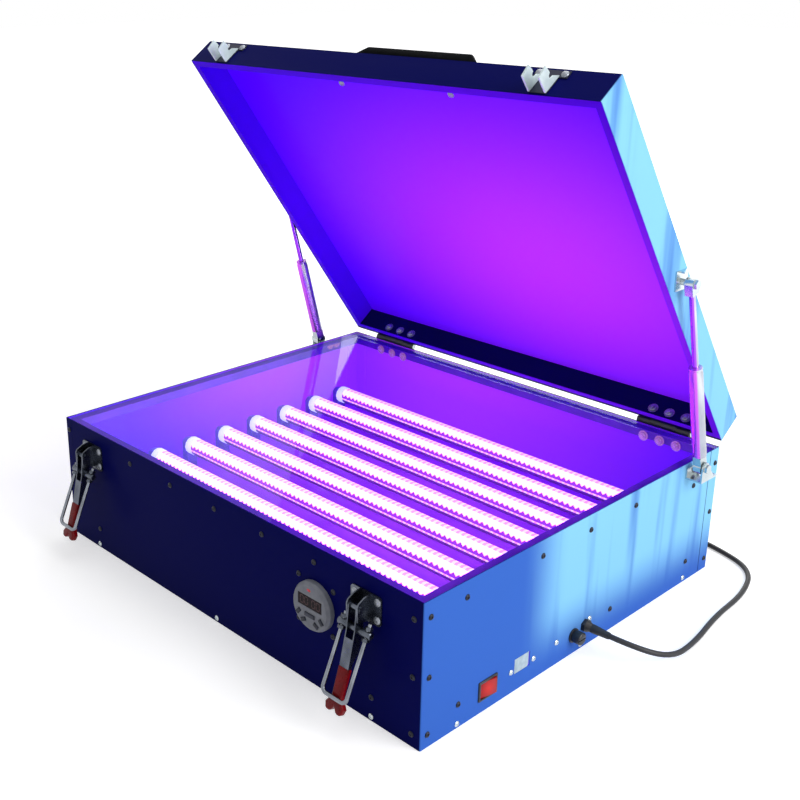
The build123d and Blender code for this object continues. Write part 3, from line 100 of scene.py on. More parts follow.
def add(tree, kind, settings, links=None):
    """Adds a node: each setting is one of its sockets or properties, each link feeds a socket."""
    node = tree.nodes.new("ShaderNode" + kind)
    for name, value in settings.items():
        if isinstance(name, int) or name in node.inputs:
            node.inputs[name].default_value = value
        else:
            setattr(node, name, value)
    for name, source in (links or {}).items():
        tree.links.new(source, node.inputs[name])
    return node


def finish(name, **settings):
    """A material, its node tree, its shader and the place on the object in metres.

    IOR and Specular_IOR_Level start from the real finish and are lowered where its gloss would
    mirror too much of the white studio.
    """
    material = bpy.data.materials.new(name)
    material.use_nodes = True
    tree = material.node_tree
    shader = tree.nodes["Principled BSDF"]
    for setting, value in settings.items():
        shader.inputs[setting.replace("_", " ")].default_value = value
    return material, tree, shader, add(tree, "TexCoord", {}).outputs["Object"]


def mottle(tree, shader, place, colours, patch, roughness, grain=0.001, relief=0.0):
    """Two close colours in soft patches, a range of roughness, and a fine grain in relief."""
    soft = add(tree, "TexNoise", {"Scale": 1 / patch, "Detail": 4.0}, {"Vector": place})
    spread = add(tree, "MapRange", {"From Min": 0.35, "From Max": 0.65},
                 {"Value": soft.outputs["Fac"]})
    colour = add(tree, "MixRGB", {"Color1": linear(colours[0]), "Color2": linear(colours[1])},
                 {"Fac": spread.outputs["Result"]})
    tree.links.new(colour.outputs["Color"], shader.inputs["Base Color"])
    fine = add(tree, "TexNoise", {"Scale": 1 / grain, "Detail": 2.0}, {"Vector": place})
    rough = add(tree, "MapRange", {"To Min": roughness[0], "To Max": roughness[1]},
                {"Value": fine.outputs["Fac"]})
    tree.links.new(rough.outputs["Result"], shader.inputs["Roughness"])
    if relief:
        bump = add(tree, "Bump", {"Distance": relief}, {"Height": fine.outputs["Fac"]})
        tree.links.new(bump.outputs["Normal"], shader.inputs["Normal"])
    return colour


# Extruded PVC: dull black, with the faint length marks of the die kept as grain.
cord_pvc, tree, shader, place = finish("cord_pvc", IOR=1.53)
mottle(tree, shader, place, ("#0c0d12", "#16171d"), 0.02, (0.42, 0.6), 0.0012, 0.00004)

route = [Vector(point) for point in CORD_ROUTE]
for step in range(int(2.5 * COIL_STEPS) + 1):
    turns = step / COIL_STEPS
    layer = min(max((turns - 1) * 2, 0), 1)
    radius = COIL_RADIUS - COIL_PITCH * (turns if turns < 1 else 1 - max(turns - 1.5, 0))
    angle = -pi / 2 - 2 * pi * turns
    radius /= cos(pi / COIL_STEPS)
    route.append(Vector((
        COIL_CENTRE[0] + radius * cos(angle),
        COIL_CENTRE[1] + radius * sin(angle),
        CORD_ON_FLOOR + COIL_PITCH * layer,
    )))
route += [Vector((0.140, 0.461, PLUG_START[2])), Vector(PLUG_START)]

cord_curve = bpy.data.curves.new("mains_cord", "CURVE")
cord_curve.dimensions = "3D"
cord_curve.bevel_depth = CORD_DIAMETER / 2
cord_curve.bevel_resolution = 4
cord_curve.resolution_u = 8
cord_curve.use_fill_caps = True
spline = cord_curve.splines.new("NURBS")
spline.points.add(len(route) - 1)
for control, point in zip(spline.points, route):
    control.co = (*point, 1.0)
spline.order_u = 3
spline.use_endpoint_u = True
mains_cord = bpy.data.objects.new("mains_cord", cord_curve)
bpy.context.scene.collection.objects.link(mains_cord)
cord_curve.materials.append(cord_pvc)


SMOOTH_ANGLE = radians(32)
WELD_GAP = 0.00001


def piece(name, shape, material, body):
    """A finished piece from a bmesh: faces outward, smooth up to 32 degrees, riding on its body."""
    mesh = bpy.data.meshes.new(name)
    bmesh.ops.recalc_face_normals(shape, faces=shape.faces)
    shape.to_mesh(mesh)
    shape.free()
    mesh.shade_smooth()
    mesh.set_sharp_from_angle(angle=SMOOTH_ANGLE)
    mesh.materials.append(material)
    made = bpy.data.objects.new(name, mesh)
    bpy.context.scene.collection.objects.link(made)
    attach(made, body)
    return made


def dress(material, *nodes, edge=0.0, smooth=True):
    """Gives CAD nodes a material, edges rounded to a width and smooth round faces, all live."""
    for name in nodes:
        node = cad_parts[name]
        for slot in node.material_slots:
            slot.material = material
        if not node.material_slots:
            node.data.materials.append(material)
        if smooth:
            weld = node.modifiers.new("weld", "WELD")
            weld.merge_threshold = WELD_GAP
        if edge:
            flat = node.modifiers.new("flat_faces", "DECIMATE")
            flat.decimate_type = "DISSOLVE"
            flat.angle_limit = radians(1)
            bevel = node.modifiers.new("edge", "BEVEL")
            bevel.width = edge
            bevel.segments = 2
            bevel.limit_method = "ANGLE"
            bevel.angle_limit = radians(40)
        if smooth:
            node.modifiers.new("smooth", "NODES").node_group = smooth_group


# A node group that shades faces smooth and keeps edges sharper than 32 degrees.
smooth_group = bpy.data.node_groups.new("smooth_by_angle", "GeometryNodeTree")
smooth_group.interface.new_socket("Geometry", in_out="INPUT", socket_type="NodeSocketGeometry")
smooth_group.interface.new_socket("Geometry", in_out="OUTPUT", socket_type="NodeSocketGeometry")
group_in = smooth_group.nodes.new("NodeGroupInput")
group_out = smooth_group.nodes.new("NodeGroupOutput")
edge_angle = smooth_group.nodes.new("GeometryNodeInputMeshEdgeAngle")
shallow = smooth_group.nodes.new("FunctionNodeCompare")
shallow.operation = "LESS_THAN"
shallow.inputs["B"].default_value = SMOOTH_ANGLE
smooth_faces = smooth_group.nodes.new("GeometryNodeSetShadeSmooth")
smooth_edges = smooth_group.nodes.new("GeometryNodeSetShadeSmooth")
smooth_edges.domain = "EDGE"
smooth_group.links.new(edge_angle.outputs["Unsigned Angle"], shallow.inputs["A"])
smooth_group.links.new(group_in.outputs[0], smooth_faces.inputs["Geometry"])
smooth_group.links.new(smooth_faces.outputs["Geometry"], smooth_edges.inputs["Geometry"])
smooth_group.links.new(shallow.outputs["Result"], smooth_edges.inputs["Shade Smooth"])
smooth_group.links.new(smooth_edges.outputs["Geometry"], group_out.inputs[0])

# The strain relief is a tapered sleeve moulded on the lead where it leaves the gland. It follows
# the lead's own line, read from its spline.
RELIEF_LENGTH = 0.030
RELIEF_RADII = (0.0058, 0.0040)
bare_curve = cord_curve.copy()
bare_curve.bevel_depth = 0.0
bare_cord = bpy.data.objects.new("bare_cord", bare_curve)
cord_line = [vertex.co.copy() for vertex in bpy.data.meshes.new_from_object(bare_cord).vertices]
bpy.data.objects.remove(bare_cord)
relief = bmesh.new()
run = 0.0
rings = []
for before, point in zip([cord_line[0]] + cord_line, cord_line):
    run += (point - before).length
    if run > RELIEF_LENGTH:
        break
    share = run / RELIEF_LENGTH
    heading = (cord_line[cord_line.index(point) + 1] - point).normalized()
    radius = RELIEF_RADII[0] + (RELIEF_RADII[1] - RELIEF_RADII[0]) * share
    turn = Vector((0, 0, 1)).rotation_difference(heading).to_matrix().to_4x4()
    ring = bmesh.ops.create_circle(relief, cap_ends=not rings, segments=20, radius=radius,
                                   matrix=Matrix.Translation(point) @ turn)
    rings.append(ring["verts"])
for first, second in zip(rings, rings[1:]):
    edges = [e for e in relief.edges if all(v in first for v in e.verts)]
    edges += [e for e in relief.edges if all(v in second for v in e.verts)]
    bmesh.ops.bridge_loops(relief, edges=edges)
bmesh.ops.contextual_create(relief, geom=rings[-1])
strain_relief = piece("strain_relief", relief, cord_pvc, "base")

# The plug is moulded in the same PVC round two brass blades.
plug_pvc, tree, shader, place = finish("plug_pvc", IOR=1.53)
mottle(tree, shader, place, ("#0d0e13", "#191a20"), 0.012, (0.35, 0.5), 0.0009, 0.00005)
dress(plug_pvc, "cord_plug", edge=0.0012)
# Stamped brass: bright, with rub marks along the blades.
blade_brass, tree, shader, place = finish("blade_brass", Metallic=1.0)
mottle(tree, shader, place, ("#b9924a", "#d9b970"), 0.004, (0.2, 0.38), 0.0006)
dress(blade_brass, "plug_blades", edge=0.0003)

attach(mains_cord, "base")
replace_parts(mains_cord, "cord_tube", "cord_coil")

# ---------------------------------------------------------------- table, backdrop and lamps
# A plain pale table under a plain pale sky. Camera, mirror and glass rays see both as white, and
# the table keeps the unit's shadow.
floor_shape = bmesh.new()
bmesh.ops.create_grid(floor_shape, x_segments=4, y_segments=4, size=12.0)
floor_mesh = bpy.data.meshes.new("floor")
floor_shape.to_mesh(floor_mesh)
floor_shape.free()
studio_floor = bpy.data.objects.new("floor", floor_mesh)
bpy.context.scene.collection.objects.link(studio_floor)


def seen_directly(tree):
    """1 for camera, mirror and glass rays, 0 for the rays that light other surfaces."""
    rays = add(tree, "LightPath", {})
    mirror = add(tree, "Math", {"operation": "MAXIMUM"},
                 {0: rays.outputs["Is Camera Ray"], 1: rays.outputs["Is Glossy Ray"]})
    through = add(tree, "Math", {"operation": "MAXIMUM"},
                  {0: mirror.outputs[0], 1: rays.outputs["Is Transmission Ray"]})
    return through.outputs[0]


# Matt white paper: shaded by the unit near it, and plain white past 2.2 m.
PAPER_NEAR = (0.9, 0.48)
PAPER_FAR = (2.2, 1.0)
SKY_ON_OBJECT = 0.30
paper, tree, shader, place = finish("studio_paper", Roughness=0.9)
mottle(tree, shader, place, ("#e4e4e6", "#ececee"), 0.4, (0.85, 0.95), 0.002)
away = add(tree, "VectorMath", {"operation": "LENGTH"}, {0: place})
paper_level = add(tree, "MapRange", {"From Min": PAPER_NEAR[0], "From Max": PAPER_FAR[0],
                                     "To Min": PAPER_NEAR[1], "To Max": PAPER_FAR[1]},
                  {"Value": away.outputs["Value"]})
paper_glow = add(tree, "Math", {"operation": "MULTIPLY"},
                 {0: seen_directly(tree), 1: paper_level.outputs[0]})
shader.inputs["Emission Color"].default_value = (1, 1, 1, 1)
tree.links.new(paper_glow.outputs[0], shader.inputs["Emission Strength"])
floor_mesh.materials.append(paper)

world = bpy.data.worlds.new("studio")
bpy.context.scene.world = world
world.use_nodes = True
sky = world.node_tree.nodes["Background"]
sky.inputs["Color"].default_value = (1, 1, 1, 1)
sky_level = add(world.node_tree, "MapRange", {"To Min": SKY_ON_OBJECT, "To Max": 1.0},
                {"Value": seen_directly(world.node_tree)})
world.node_tree.links.new(sky_level.outputs["Result"], sky.inputs["Strength"])

for name, spot, size, power in (
    ("lamp_right", (2.9, 0.3, 1.7), 2.2, 80.0),
    ("lamp_above", (0.3, 0.4, 3.0), 2.4, 24.0),
    ("lamp_back", (-1.4, 2.4, 2.0), 2.0, 26.0),
):
    lamp_data = bpy.data.lights.new(name, "AREA")
    lamp_data.size = size
    lamp_data.energy = power
    lamp = bpy.data.objects.new(name, lamp_data)
    aim = Vector((0, 0, 0.15)) - Vector(spot)
    lamp.matrix_world = Matrix.Translation(spot) @ aim.to_track_quat("-Z", "Y").to_matrix().to_4x4()
    bpy.context.scene.collection.objects.link(lamp)

# ---------------------------------------------------------------- cabinet
# Folded mild-steel sheet, 1.5 mm, powder-coated blue inside and out: front and right side in one
# piece, left side, back, and a tray under them, screwed to four corner posts.
OPEN_ANGLE = radians(54.2)
HINGE_AXIS = Vector((0, 0.302, 0.1848))
SIDE_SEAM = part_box("front_right_panel")[1].y
RIGHT_FACE = 0.350
# The box that holds the inner faces of the cabinet, and the part of it under the glass.
CABINET_INSIDE = ((-0.34925, -0.29525, -0.01), (0.34925, 0.29525, 0.1822))
UNDER_GLASS = ((-0.36, -0.31, 0.0), (0.36, 0.31, 0.1775))
# The lamps' violet fades over this distance, sooner from front to back than across.
GLOW_REACH = 0.60
GLOW_STRETCH = (1.0, 1.4, 1.0)
GLOW_LEVEL = 0.45
PEEL_SIZE = 0.0025


def within(tree, place, low, high):
    """1 inside a box, 0 outside it: parts the lit inner side of a sheet from its outer side."""
    middle = (Vector(low) + Vector(high)) / 2
    half = (Vector(high) - Vector(low)) / 2
    offset = add(tree, "VectorMath", {"operation": "SUBTRACT"}, {0: place})
    offset.inputs[1].default_value = middle
    size = add(tree, "VectorMath", {"operation": "ABSOLUTE"}, {0: offset.outputs[0]})
    axes = add(tree, "SeparateXYZ", {}, {0: size.outputs[0]})
    inside = None
    for axis in range(3):
        below = add(tree, "Math", {"operation": "LESS_THAN"}, {0: axes.outputs[axis]})
        below.inputs[1].default_value = half[axis]
        if inside is None:
            inside = below
        else:
            inside = add(tree, "Math", {"operation": "MULTIPLY"},
                         {0: inside.outputs[0], 1: below.outputs[0]})
    return inside.outputs[0]


def lid_place(tree, place):
    """Where a point of the open lid lies when the lid is shut, from the hinge axis."""
    turned_axis = Matrix.Rotation(OPEN_ANGLE, 3, "X") @ HINGE_AXIS
    return add(tree, "Mapping", {"Rotation": (OPEN_ANGLE, 0, 0), "Location": -turned_axis},
               {"Vector": place}).outputs[0]


def blue_coat(name, inside, lit_part, glow_middle, painted_light_colours, lit_patch, shaded_part=None):
    """Gloss blue powder coat with painted light and shade: navy, painted pale where the right side
    catches the light, and the lamps' light painted violet inside.

    inside, lit_part and shaded_part are boxes that hold the inner faces, those that look at the lamps
    and those turned away from them, which get painted shade. lit_patch is the back, front, foot and top
    of the painted pale reflection on the right side. A coat with a shaded part is the lid's, and its
    boxes are those of the shut lid.
    """
    material, tree, shader, place = finish(name, IOR=1.5, Specular_IOR_Level=0.01)
    axes = add(tree, "SeparateXYZ", {}, {0: place})
    # painted reflection: soft upright pale streaks, 15 to 60 mm wide
    stretch = add(tree, "Mapping", {"Scale": (0.2, 22.0, 1.4)}, {"Vector": place})
    reflection_streaks = add(tree, "TexNoise", {"Scale": 1.0, "Detail": 3.0, "Roughness": 0.55},
                  {"Vector": stretch.outputs[0]})
    reflection_streak = add(tree, "MapRange", {"From Min": 0.30, "From Max": 0.52, "To Min": 0.25,
                                    "interpolation_type": "SMOOTHSTEP"},
                 {"Value": reflection_streaks.outputs["Fac"]})
    # painted reflection: a pale patch on the right side, fading at its edges and broken into the
    # streaks
    back, front, low, high = lit_patch
    along = add(tree, "MapRange", {"From Min": front, "From Max": back,
                                   "interpolation_type": "SMOOTHSTEP"},
                {"Value": axes.outputs["Y"]})
    up = add(tree, "MapRange", {"From Min": low, "From Max": high,
                                "interpolation_type": "SMOOTHSTEP"},
             {"Value": axes.outputs["Z"]})
    patch = add(tree, "Math", {"operation": "MULTIPLY"}, {0: along.outputs[0], 1: up.outputs[0]})
    patch = add(tree, "Math", {"operation": "MULTIPLY"}, {0: patch.outputs[0], 1: reflection_streak.outputs[0]})
    side = add(tree, "MixRGB", {"Color1": linear("#3b69c4"), "Color2": linear("#88caf4")},
               {"Fac": patch.outputs[0]})
    if not shaded_part:
        # the seam where the back sheet's fold meets the side: a dark joint line widened by painted
        # shade, about 2 mm wide
        off_seam = add(tree, "Math", {"operation": "SUBTRACT", 1: SIDE_SEAM}, {0: axes.outputs["Y"]})
        off_seam = add(tree, "Math", {"operation": "ABSOLUTE"}, {0: off_seam.outputs[0]})
        seam_shade = add(tree, "MapRange", {"From Min": 0.0004, "From Max": 0.0012,
                                      "To Min": 0.75, "To Max": 0.0},
                   {"Value": off_seam.outputs[0]})
        side = add(tree, "MixRGB", {"Color2": linear("#14245c")},
                   {"Fac": seam_shade.outputs[0], "Color1": side.outputs[0]})
    # painted light and shade: the lit right side in a lighter blue, the front, left and back in a
    # darker navy
    right = add(tree, "MapRange", {"From Min": RIGHT_FACE - 0.0015, "From Max": RIGHT_FACE - 0.0005},
                {"Value": axes.outputs["X"]})
    outer = add(tree, "MixRGB", {"Color1": linear("#080c58")},
                {"Color2": side.outputs[0], "Fac": right.outputs[0]})
    # painted light: the inner side in the lamps' violet, blue-violet far from the middle of the glow,
    # magenta-violet near it
    where = lid_place(tree, place) if shaded_part else place
    inner = within(tree, where, *inside)
    lit_face = within(tree, where, *lit_part)
    wide = add(tree, "Mapping", {"Scale": GLOW_STRETCH}, {"Vector": where})
    apart = add(tree, "VectorMath", {"operation": "DISTANCE"}, {0: wide.outputs[0]})
    apart.inputs[1].default_value = glow_middle
    nearness = add(tree, "MapRange", {"From Max": GLOW_REACH, "To Min": 1.0, "To Max": 0.0,
                                      "interpolation_type": "SMOOTHSTEP"},
                   {"Value": apart.outputs["Value"]})
    far, near = painted_light_colours
    painted_violet = add(tree, "MixRGB", {"Color1": linear(far), "Color2": linear(near)},
                 {"Fac": nearness.outputs[0]})
    if shaded_part:
        # painted shade: the wall over the hinges faces away from the lamps, and the side walls see them
        # edge on
        broad = add(tree, "MapRange", {"To Min": 0.7}, {"Value": lit_face})
        painted_violet = add(tree, "MixRGB", {"Color1": linear("#2a0c98")},
                     {"Fac": broad.outputs[0], "Color2": painted_violet.outputs[0]})
        painted_violet = add(tree, "MixRGB", {"Color2": linear("#0a0640")},
                     {"Fac": within(tree, where, *shaded_part), "Color1": painted_violet.outputs[0]})
    both = add(tree, "MixRGB", {},
               {"Fac": inner, "Color1": outer.outputs[0], "Color2": painted_violet.outputs[0]})
    tree.links.new(both.outputs[0], shader.inputs["Base Color"])
    # painted glow: the lamps' light given off by the paint itself, full on the faces that look at them
    # and half on those round them
    share = add(tree, "MapRange", {"To Min": 0.5}, {"Value": lit_face})
    share = add(tree, "Math", {"operation": "MULTIPLY"}, {0: share.outputs[0], 1: inner})
    glow = add(tree, "MixRGB", {"Color1": (0, 0, 0, 1)},
               {"Fac": share.outputs[0], "Color2": painted_violet.outputs[0]})
    tree.links.new(glow.outputs[0], shader.inputs["Emission Color"])
    shader.inputs["Emission Strength"].default_value = GLOW_LEVEL
    peel = add(tree, "TexNoise", {"Scale": 1 / PEEL_SIZE, "Detail": 1.0}, {"Vector": place})
    bump = add(tree, "Bump", {"Distance": 0.00004}, {"Height": peel.outputs["Fac"]})
    tree.links.new(bump.outputs[0], shader.inputs["Normal"])
    rough = add(tree, "MapRange", {"To Min": 0.26, "To Max": 0.36}, {"Value": peel.outputs["Fac"]})
    tree.links.new(rough.outputs[0], shader.inputs["Roughness"])
    return material


# Powder coat: deep blue with a faint orange peel every 2.5 mm.
cabinet_coat = blue_coat("blue_powder_coat", CABINET_INSIDE, UNDER_GLASS,
                         glow_middle=(-0.14, 0.24, 0.12), painted_light_colours=("#5a12e6", "#c646f8"),
                         lit_patch=(-0.04, -0.13, 0.005, 0.09))
dress(cabinet_coat, "front_right_panel", "left_panel", "back_panel")
dress(cabinet_coat, "corner_posts", smooth=False)
# Zinc-plated sheet left bare underneath: grey with a fine spangle.
bare_zinc, tree, shader, place = finish("bare_zinc", Metallic=1.0)
mottle(tree, shader, place, ("#8f969d", "#a9b0b6"), 0.006, (0.35, 0.55), 0.001)
dress(bare_zinc, "base_tray")

# ---------------------------------------------------------------- panel screws
# Small pan-head screws hold the panels to the posts, the lamp floor and the tray, and the timer and
# the connector to their panels: blackened ones in the painted field, bright zinc ones low down and
# round the connector. Each is a turned head, sunk in its middle.
SCREW_HEAD = 0.0036
FRONT_FACE = 0.296


def turned(profile, steps):
    """A closed solid of revolution from a profile of (radius, height) points, as a bmesh."""
    shape = bmesh.new()
    points = [shape.verts.new((r, 0, z)) for r, z in profile]
    edges = [shape.edges.new(pair) for pair in zip(points, points[1:])]
    bmesh.ops.spin(shape, geom=points + edges, cent=(0, 0, 0), axis=(0, 0, 1), angle=2 * pi,
                   steps=steps, use_merge=True, use_duplicate=False)
    bmesh.ops.remove_doubles(shape, verts=shape.verts, dist=0.000005)
    bmesh.ops.recalc_face_normals(shape, faces=shape.faces)
    return shape


def stamp(shape, pattern, matrix):
    """Adds a copy of a small mesh to a larger one, moved by a matrix."""
    start = len(shape.verts)
    shape.from_mesh(pattern)
    shape.verts.ensure_lookup_table()
    bmesh.ops.transform(shape, matrix=matrix, verts=shape.verts[start:])


def facing(point, direction):
    """The matrix that stands a piece drawn upright at a point, facing a direction."""
    turn = Vector((0, 0, 1)).rotation_difference(Vector(direction)).to_matrix().to_4x4()
    return Matrix.Translation(point) @ turn


head = turned([(0, 0.0011), (0.0013, 0.0011), (0.0015, 0.0019), (0.0026, 0.0017),
               (SCREW_HEAD, 0.0007), (SCREW_HEAD, -0.0004), (0, -0.0004)], 16)
screw_head = bpy.data.meshes.new("screw_head")
head.to_mesh(screw_head)
head.free()

# Each place is across the panel and up it, in millimetres, by the colour of the screw.
FRONT_DARK = [(x, 163) for x in (-187, -95, -2, 90, 182)] + [(337, z) for z in (159, 88, 16)]
FRONT_DARK += [(-342, z) for z in (166, 88, 16)] + [(-276, 31), (276, 31)]
FRONT_DARK += [(x, z) for x in (156, 214) for z in (80, 138)]
FRONT_BRIGHT = [(-279, 6), (-4, 6), (276, 6)]
SIDE_DARK = [(-285, z) for z in (163, 89, 17)] + [(y, 163) for y in (-227, -94, 0, 96)]
SIDE_DARK += [(235, 145), (-235, 31), (57, 31), (236, 31)] + [(287, z) for z in (162, 89, 17)]
SIDE_BRIGHT = [(-236, 6), (-4, 6.5), (233, 7)]
RIGHT_BRIGHT = [(-142, 29), (-100, 29), (-55, 31), (12, 36)]
BACK_DARK = [(x, 100) for x in (-330, 330)] + [(x, 60) for x in (-187, 0, 187)]
BACK_DARK += [(x, z) for x in (-330, 330) for z in (163, 17)]


def panel_screws(places):
    """Screw heads on the panels, from the places on each of them."""
    shape = bmesh.new()
    walls = {"front": (0, -1, 0), "right": (1, 0, 0), "left": (-1, 0, 0), "back": (0, 1, 0)}
    for wall, spots in places.items():
        for along, height in spots:
            if wall in ("front", "back"):
                point = (along / 1000, FRONT_FACE * walls[wall][1], height / 1000)
            else:
                point = (RIGHT_FACE * walls[wall][0], along / 1000, height / 1000)
            stamp(shape, screw_head, facing(point, walls[wall]))
    return shape


# Blackened steel: near black with a dull shine. Zinc plate: pale and bright.
black_steel, tree, shader, place = finish("blackened_steel", Metallic=0.6)
mottle(tree, shader, place, ("#14161f", "#2a2d3a"), 0.002, (0.3, 0.45), 0.0005)
zinc_plate, tree, shader, place = finish("zinc_plate", Metallic=1.0)
mottle(tree, shader, place, ("#b9c3c6", "#cad2d4"), 0.03, (0.18, 0.28), 0.0008)
dark_screws = panel_screws({"front": FRONT_DARK, "right": SIDE_DARK, "left": SIDE_DARK,
                            "back": BACK_DARK})
piece("panel_screws_dark", dark_screws, black_steel, "base")
bright_screws = panel_screws({"front": FRONT_BRIGHT, "right": SIDE_BRIGHT + RIGHT_BRIGHT,
                              "left": SIDE_BRIGHT})
piece("panel_screws_bright", bright_screws, zinc_plate, "base")

# ---------------------------------------------------------------- lamp floor and driver
# A steel shelf, stove-enamelled so that it throws the lamps' light up, with the LED driver in its
# drawn case at the front. Its white is given here as it looks in the lamps' violet light.
enamel, tree, shader, place = finish("white_stove_enamel", IOR=1.5)
mottle(tree, shader, place, ("#a83cee", "#c458ff"), 0.12, (0.3, 0.45), 0.0015, 0.00002)
dress(enamel, "lamp_floor")
driver_case, tree, shader, place = finish("driver_case", Metallic=0.9)
mottle(tree, shader, place, ("#a8abb2", "#bcc0c6"), 0.01, (0.35, 0.5), 0.0006)
dress(driver_case, "led_driver", edge=0.001)

# ---------------------------------------------------------------- LED tubes
# Seven T8 tubes: a frosted polycarbonate cover on an aluminium spine, a board of LEDs every 8.75 mm
# inside, and white end caps in white holders. The lit LEDs show as a dotted upper edge.
LED_PITCH = 0.00875
TUBE_PITCH = 0.06375
FIRST_TUBE = -0.178
TUBE_CENTRE_Z = 0.102
# Shares of the quarter turn from a tube's top to its front: where the dots end, and the teeth.
DOTTED_SHARE = 0.2
SAW_TEETH = (0.64, 0.84)
# Brighter than white can show, so that the tubes light the inside violet.
LAMP_VIOLET = (0.55, 0.085, 1.0, 1.0)
LAMP_LEVEL = 12.0
# Frosted polycarbonate, lit: white-pink over most of it, with the LEDs as pink dots along its top
# and a saw-toothed edge where it meets the spine.
lit_cover, tree, shader, place = finish("frosted_polycarbonate", Roughness=0.35,
                                        Specular_IOR_Level=0.2)
axes = add(tree, "SeparateXYZ", {}, {0: place})
row = add(tree, "Math", {"operation": "SUBTRACT", 1: FIRST_TUBE - TUBE_PITCH / 2},
          {0: axes.outputs["Y"]})
across = add(tree, "Math", {"operation": "MODULO", 1: TUBE_PITCH}, {0: row.outputs[0]})
across = add(tree, "Math", {"operation": "SUBTRACT", 1: TUBE_PITCH / 2}, {0: across.outputs[0]})
height = add(tree, "Math", {"operation": "SUBTRACT", 1: TUBE_CENTRE_Z}, {0: axes.outputs["Z"]})
round_angle = add(tree, "Math", {"operation": "ARCTAN2"},
                  {0: height.outputs[0], 1: across.outputs[0]})
# 0 at the top of the tube, growing to 1 at its front
round_share = add(tree, "MapRange", {"From Min": pi / 2, "From Max": pi, "clamp": False},
                  {"Value": round_angle.outputs[0]})
chips = add(tree, "Math", {"operation": "PINGPONG", 1: LED_PITCH / 2}, {0: axes.outputs["X"]})
saw = add(tree, "MapRange", {"From Max": LED_PITCH / 2, "To Min": SAW_TEETH[0], "To Max": SAW_TEETH[1]},
          {"Value": chips.outputs[0]})
above_saw = add(tree, "Math", {"operation": "LESS_THAN"},
                {0: round_share.outputs[0], 1: saw.outputs[0]})
below_dots = add(tree, "Math", {"operation": "GREATER_THAN", 1: DOTTED_SHARE},
                 {0: round_share.outputs[0]})
core = add(tree, "Math", {"operation": "MULTIPLY"}, {0: above_saw.outputs[0], 1: below_dots.outputs[0]})
dot = add(tree, "Math", {"operation": "GREATER_THAN", 1: LED_PITCH / 4}, {0: chips.outputs[0]})
dot_colour = add(tree, "MixRGB", {"Color1": linear("#fbd0ff"), "Color2": linear("#f595e6")},
                 {"Fac": dot.outputs[0]})
edge_colour = add(tree, "MixRGB", {"Color1": linear("#8e38ee")},
                  {"Color2": dot_colour.outputs[0], "Fac": above_saw.outputs[0]})
glow_colour = add(tree, "MixRGB", {"Color2": LAMP_VIOLET},
                  {"Color1": edge_colour.outputs[0], "Fac": core.outputs[0]})
glow_level = add(tree, "MapRange", {"To Min": 1.0, "To Max": LAMP_LEVEL}, {"Value": core.outputs[0]})
tree.links.new(glow_colour.outputs[0], shader.inputs["Emission Color"])
tree.links.new(glow_level.outputs[0], shader.inputs["Emission Strength"])
tree.links.new(edge_colour.outputs[0], shader.inputs["Base Color"])
dress(lit_cover, "led_tube_covers")
# White ABS: even and slightly glossy, with the tube's light coming through the caps. The holders
# are white too, given as they look in violet shade.
white_abs, tree, shader, place = finish("white_abs", IOR=1.53)
mottle(tree, shader, place, ("#dcdaf2", "#f0eefc"), 0.01, (0.3, 0.42), 0.0012, 0.00002)
shader.inputs["Emission Color"].default_value = linear("#dfe6ff")
shader.inputs["Emission Strength"].default_value = 0.8
dress(white_abs, "led_end_caps", edge=0.0006)
holder_abs, tree, shader, place = finish("holder_abs", IOR=1.53)
mottle(tree, shader, place, ("#6f63c8", "#8377dc"), 0.01, (0.35, 0.5), 0.0012, 0.00002)
dress(holder_abs, "lampholders", edge=0.0008)
# Extruded aluminium and white glass-fibre board, behind the covers.
spine_metal, tree, shader, place = finish("extruded_aluminium", Metallic=1.0)
mottle(tree, shader, place, ("#b4b7bb", "#c9ccd0"), 0.01, (0.3, 0.45), 0.0008)
dress(spine_metal, "led_tube_spines")
board_white, tree, shader, place = finish("white_circuit_board", IOR=1.5)
mottle(tree, shader, place, ("#e6e8ea", "#f4f5f6"), 0.004, (0.4, 0.5), 0.0008)
dress(board_white, "led_boards", smooth=False)

# ---------------------------------------------------------------- glass bed
# Float glass, 5 mm, with polished edges, lying on an angle frame inside the cabinet's rim. Light
# rays from the lamps pass straight through; camera and mirror rays refract and reflect. Its IOR is
# low so that it mirrors little of the white studio.
float_glass, tree, shader, place = finish("float_glass", IOR=1.12, Transmission_Weight=1.0)
tint = add(tree, "TexNoise", {"Scale": 3.0, "Detail": 1.0}, {"Vector": place})
tinted = add(tree, "MixRGB", {"Color1": linear("#f0f6fb"), "Color2": linear("#f8fcff")},
             {"Fac": tint.outputs["Fac"]})
tree.links.new(tinted.outputs[0], shader.inputs["Base Color"])
smear = add(tree, "MapRange", {"To Min": 0.0, "To Max": 0.03}, {"Value": tint.outputs["Fac"]})
tree.links.new(smear.outputs[0], shader.inputs["Roughness"])
rays = add(tree, "LightPath", {})
passing = add(tree, "Math", {"operation": "MAXIMUM"},
              {0: rays.outputs["Is Shadow Ray"], 1: rays.outputs["Is Diffuse Ray"]})
clear = add(tree, "BsdfTransparent", {})
pane = add(tree, "MixShader", {},
           {0: passing.outputs[0], 1: shader.outputs[0], 2: clear.outputs[0]})
tree.links.new(pane.outputs[0], tree.nodes["Material Output"].inputs["Surface"])
dress(float_glass, "exposure_glass", smooth=False)
# The frame is painted with the cabinet and shows through the glass as a pale violet border: its
# blue is given here as it looks in the lamps' light.
ledge_coat, tree, shader, place = finish("ledge_powder_coat", IOR=1.5)
mottle(tree, shader, place, ("#4e20b8", "#6a2ccc"), 0.05, (0.3, 0.42), 0.002, 0.00003)
dress(ledge_coat, "glass_frame")

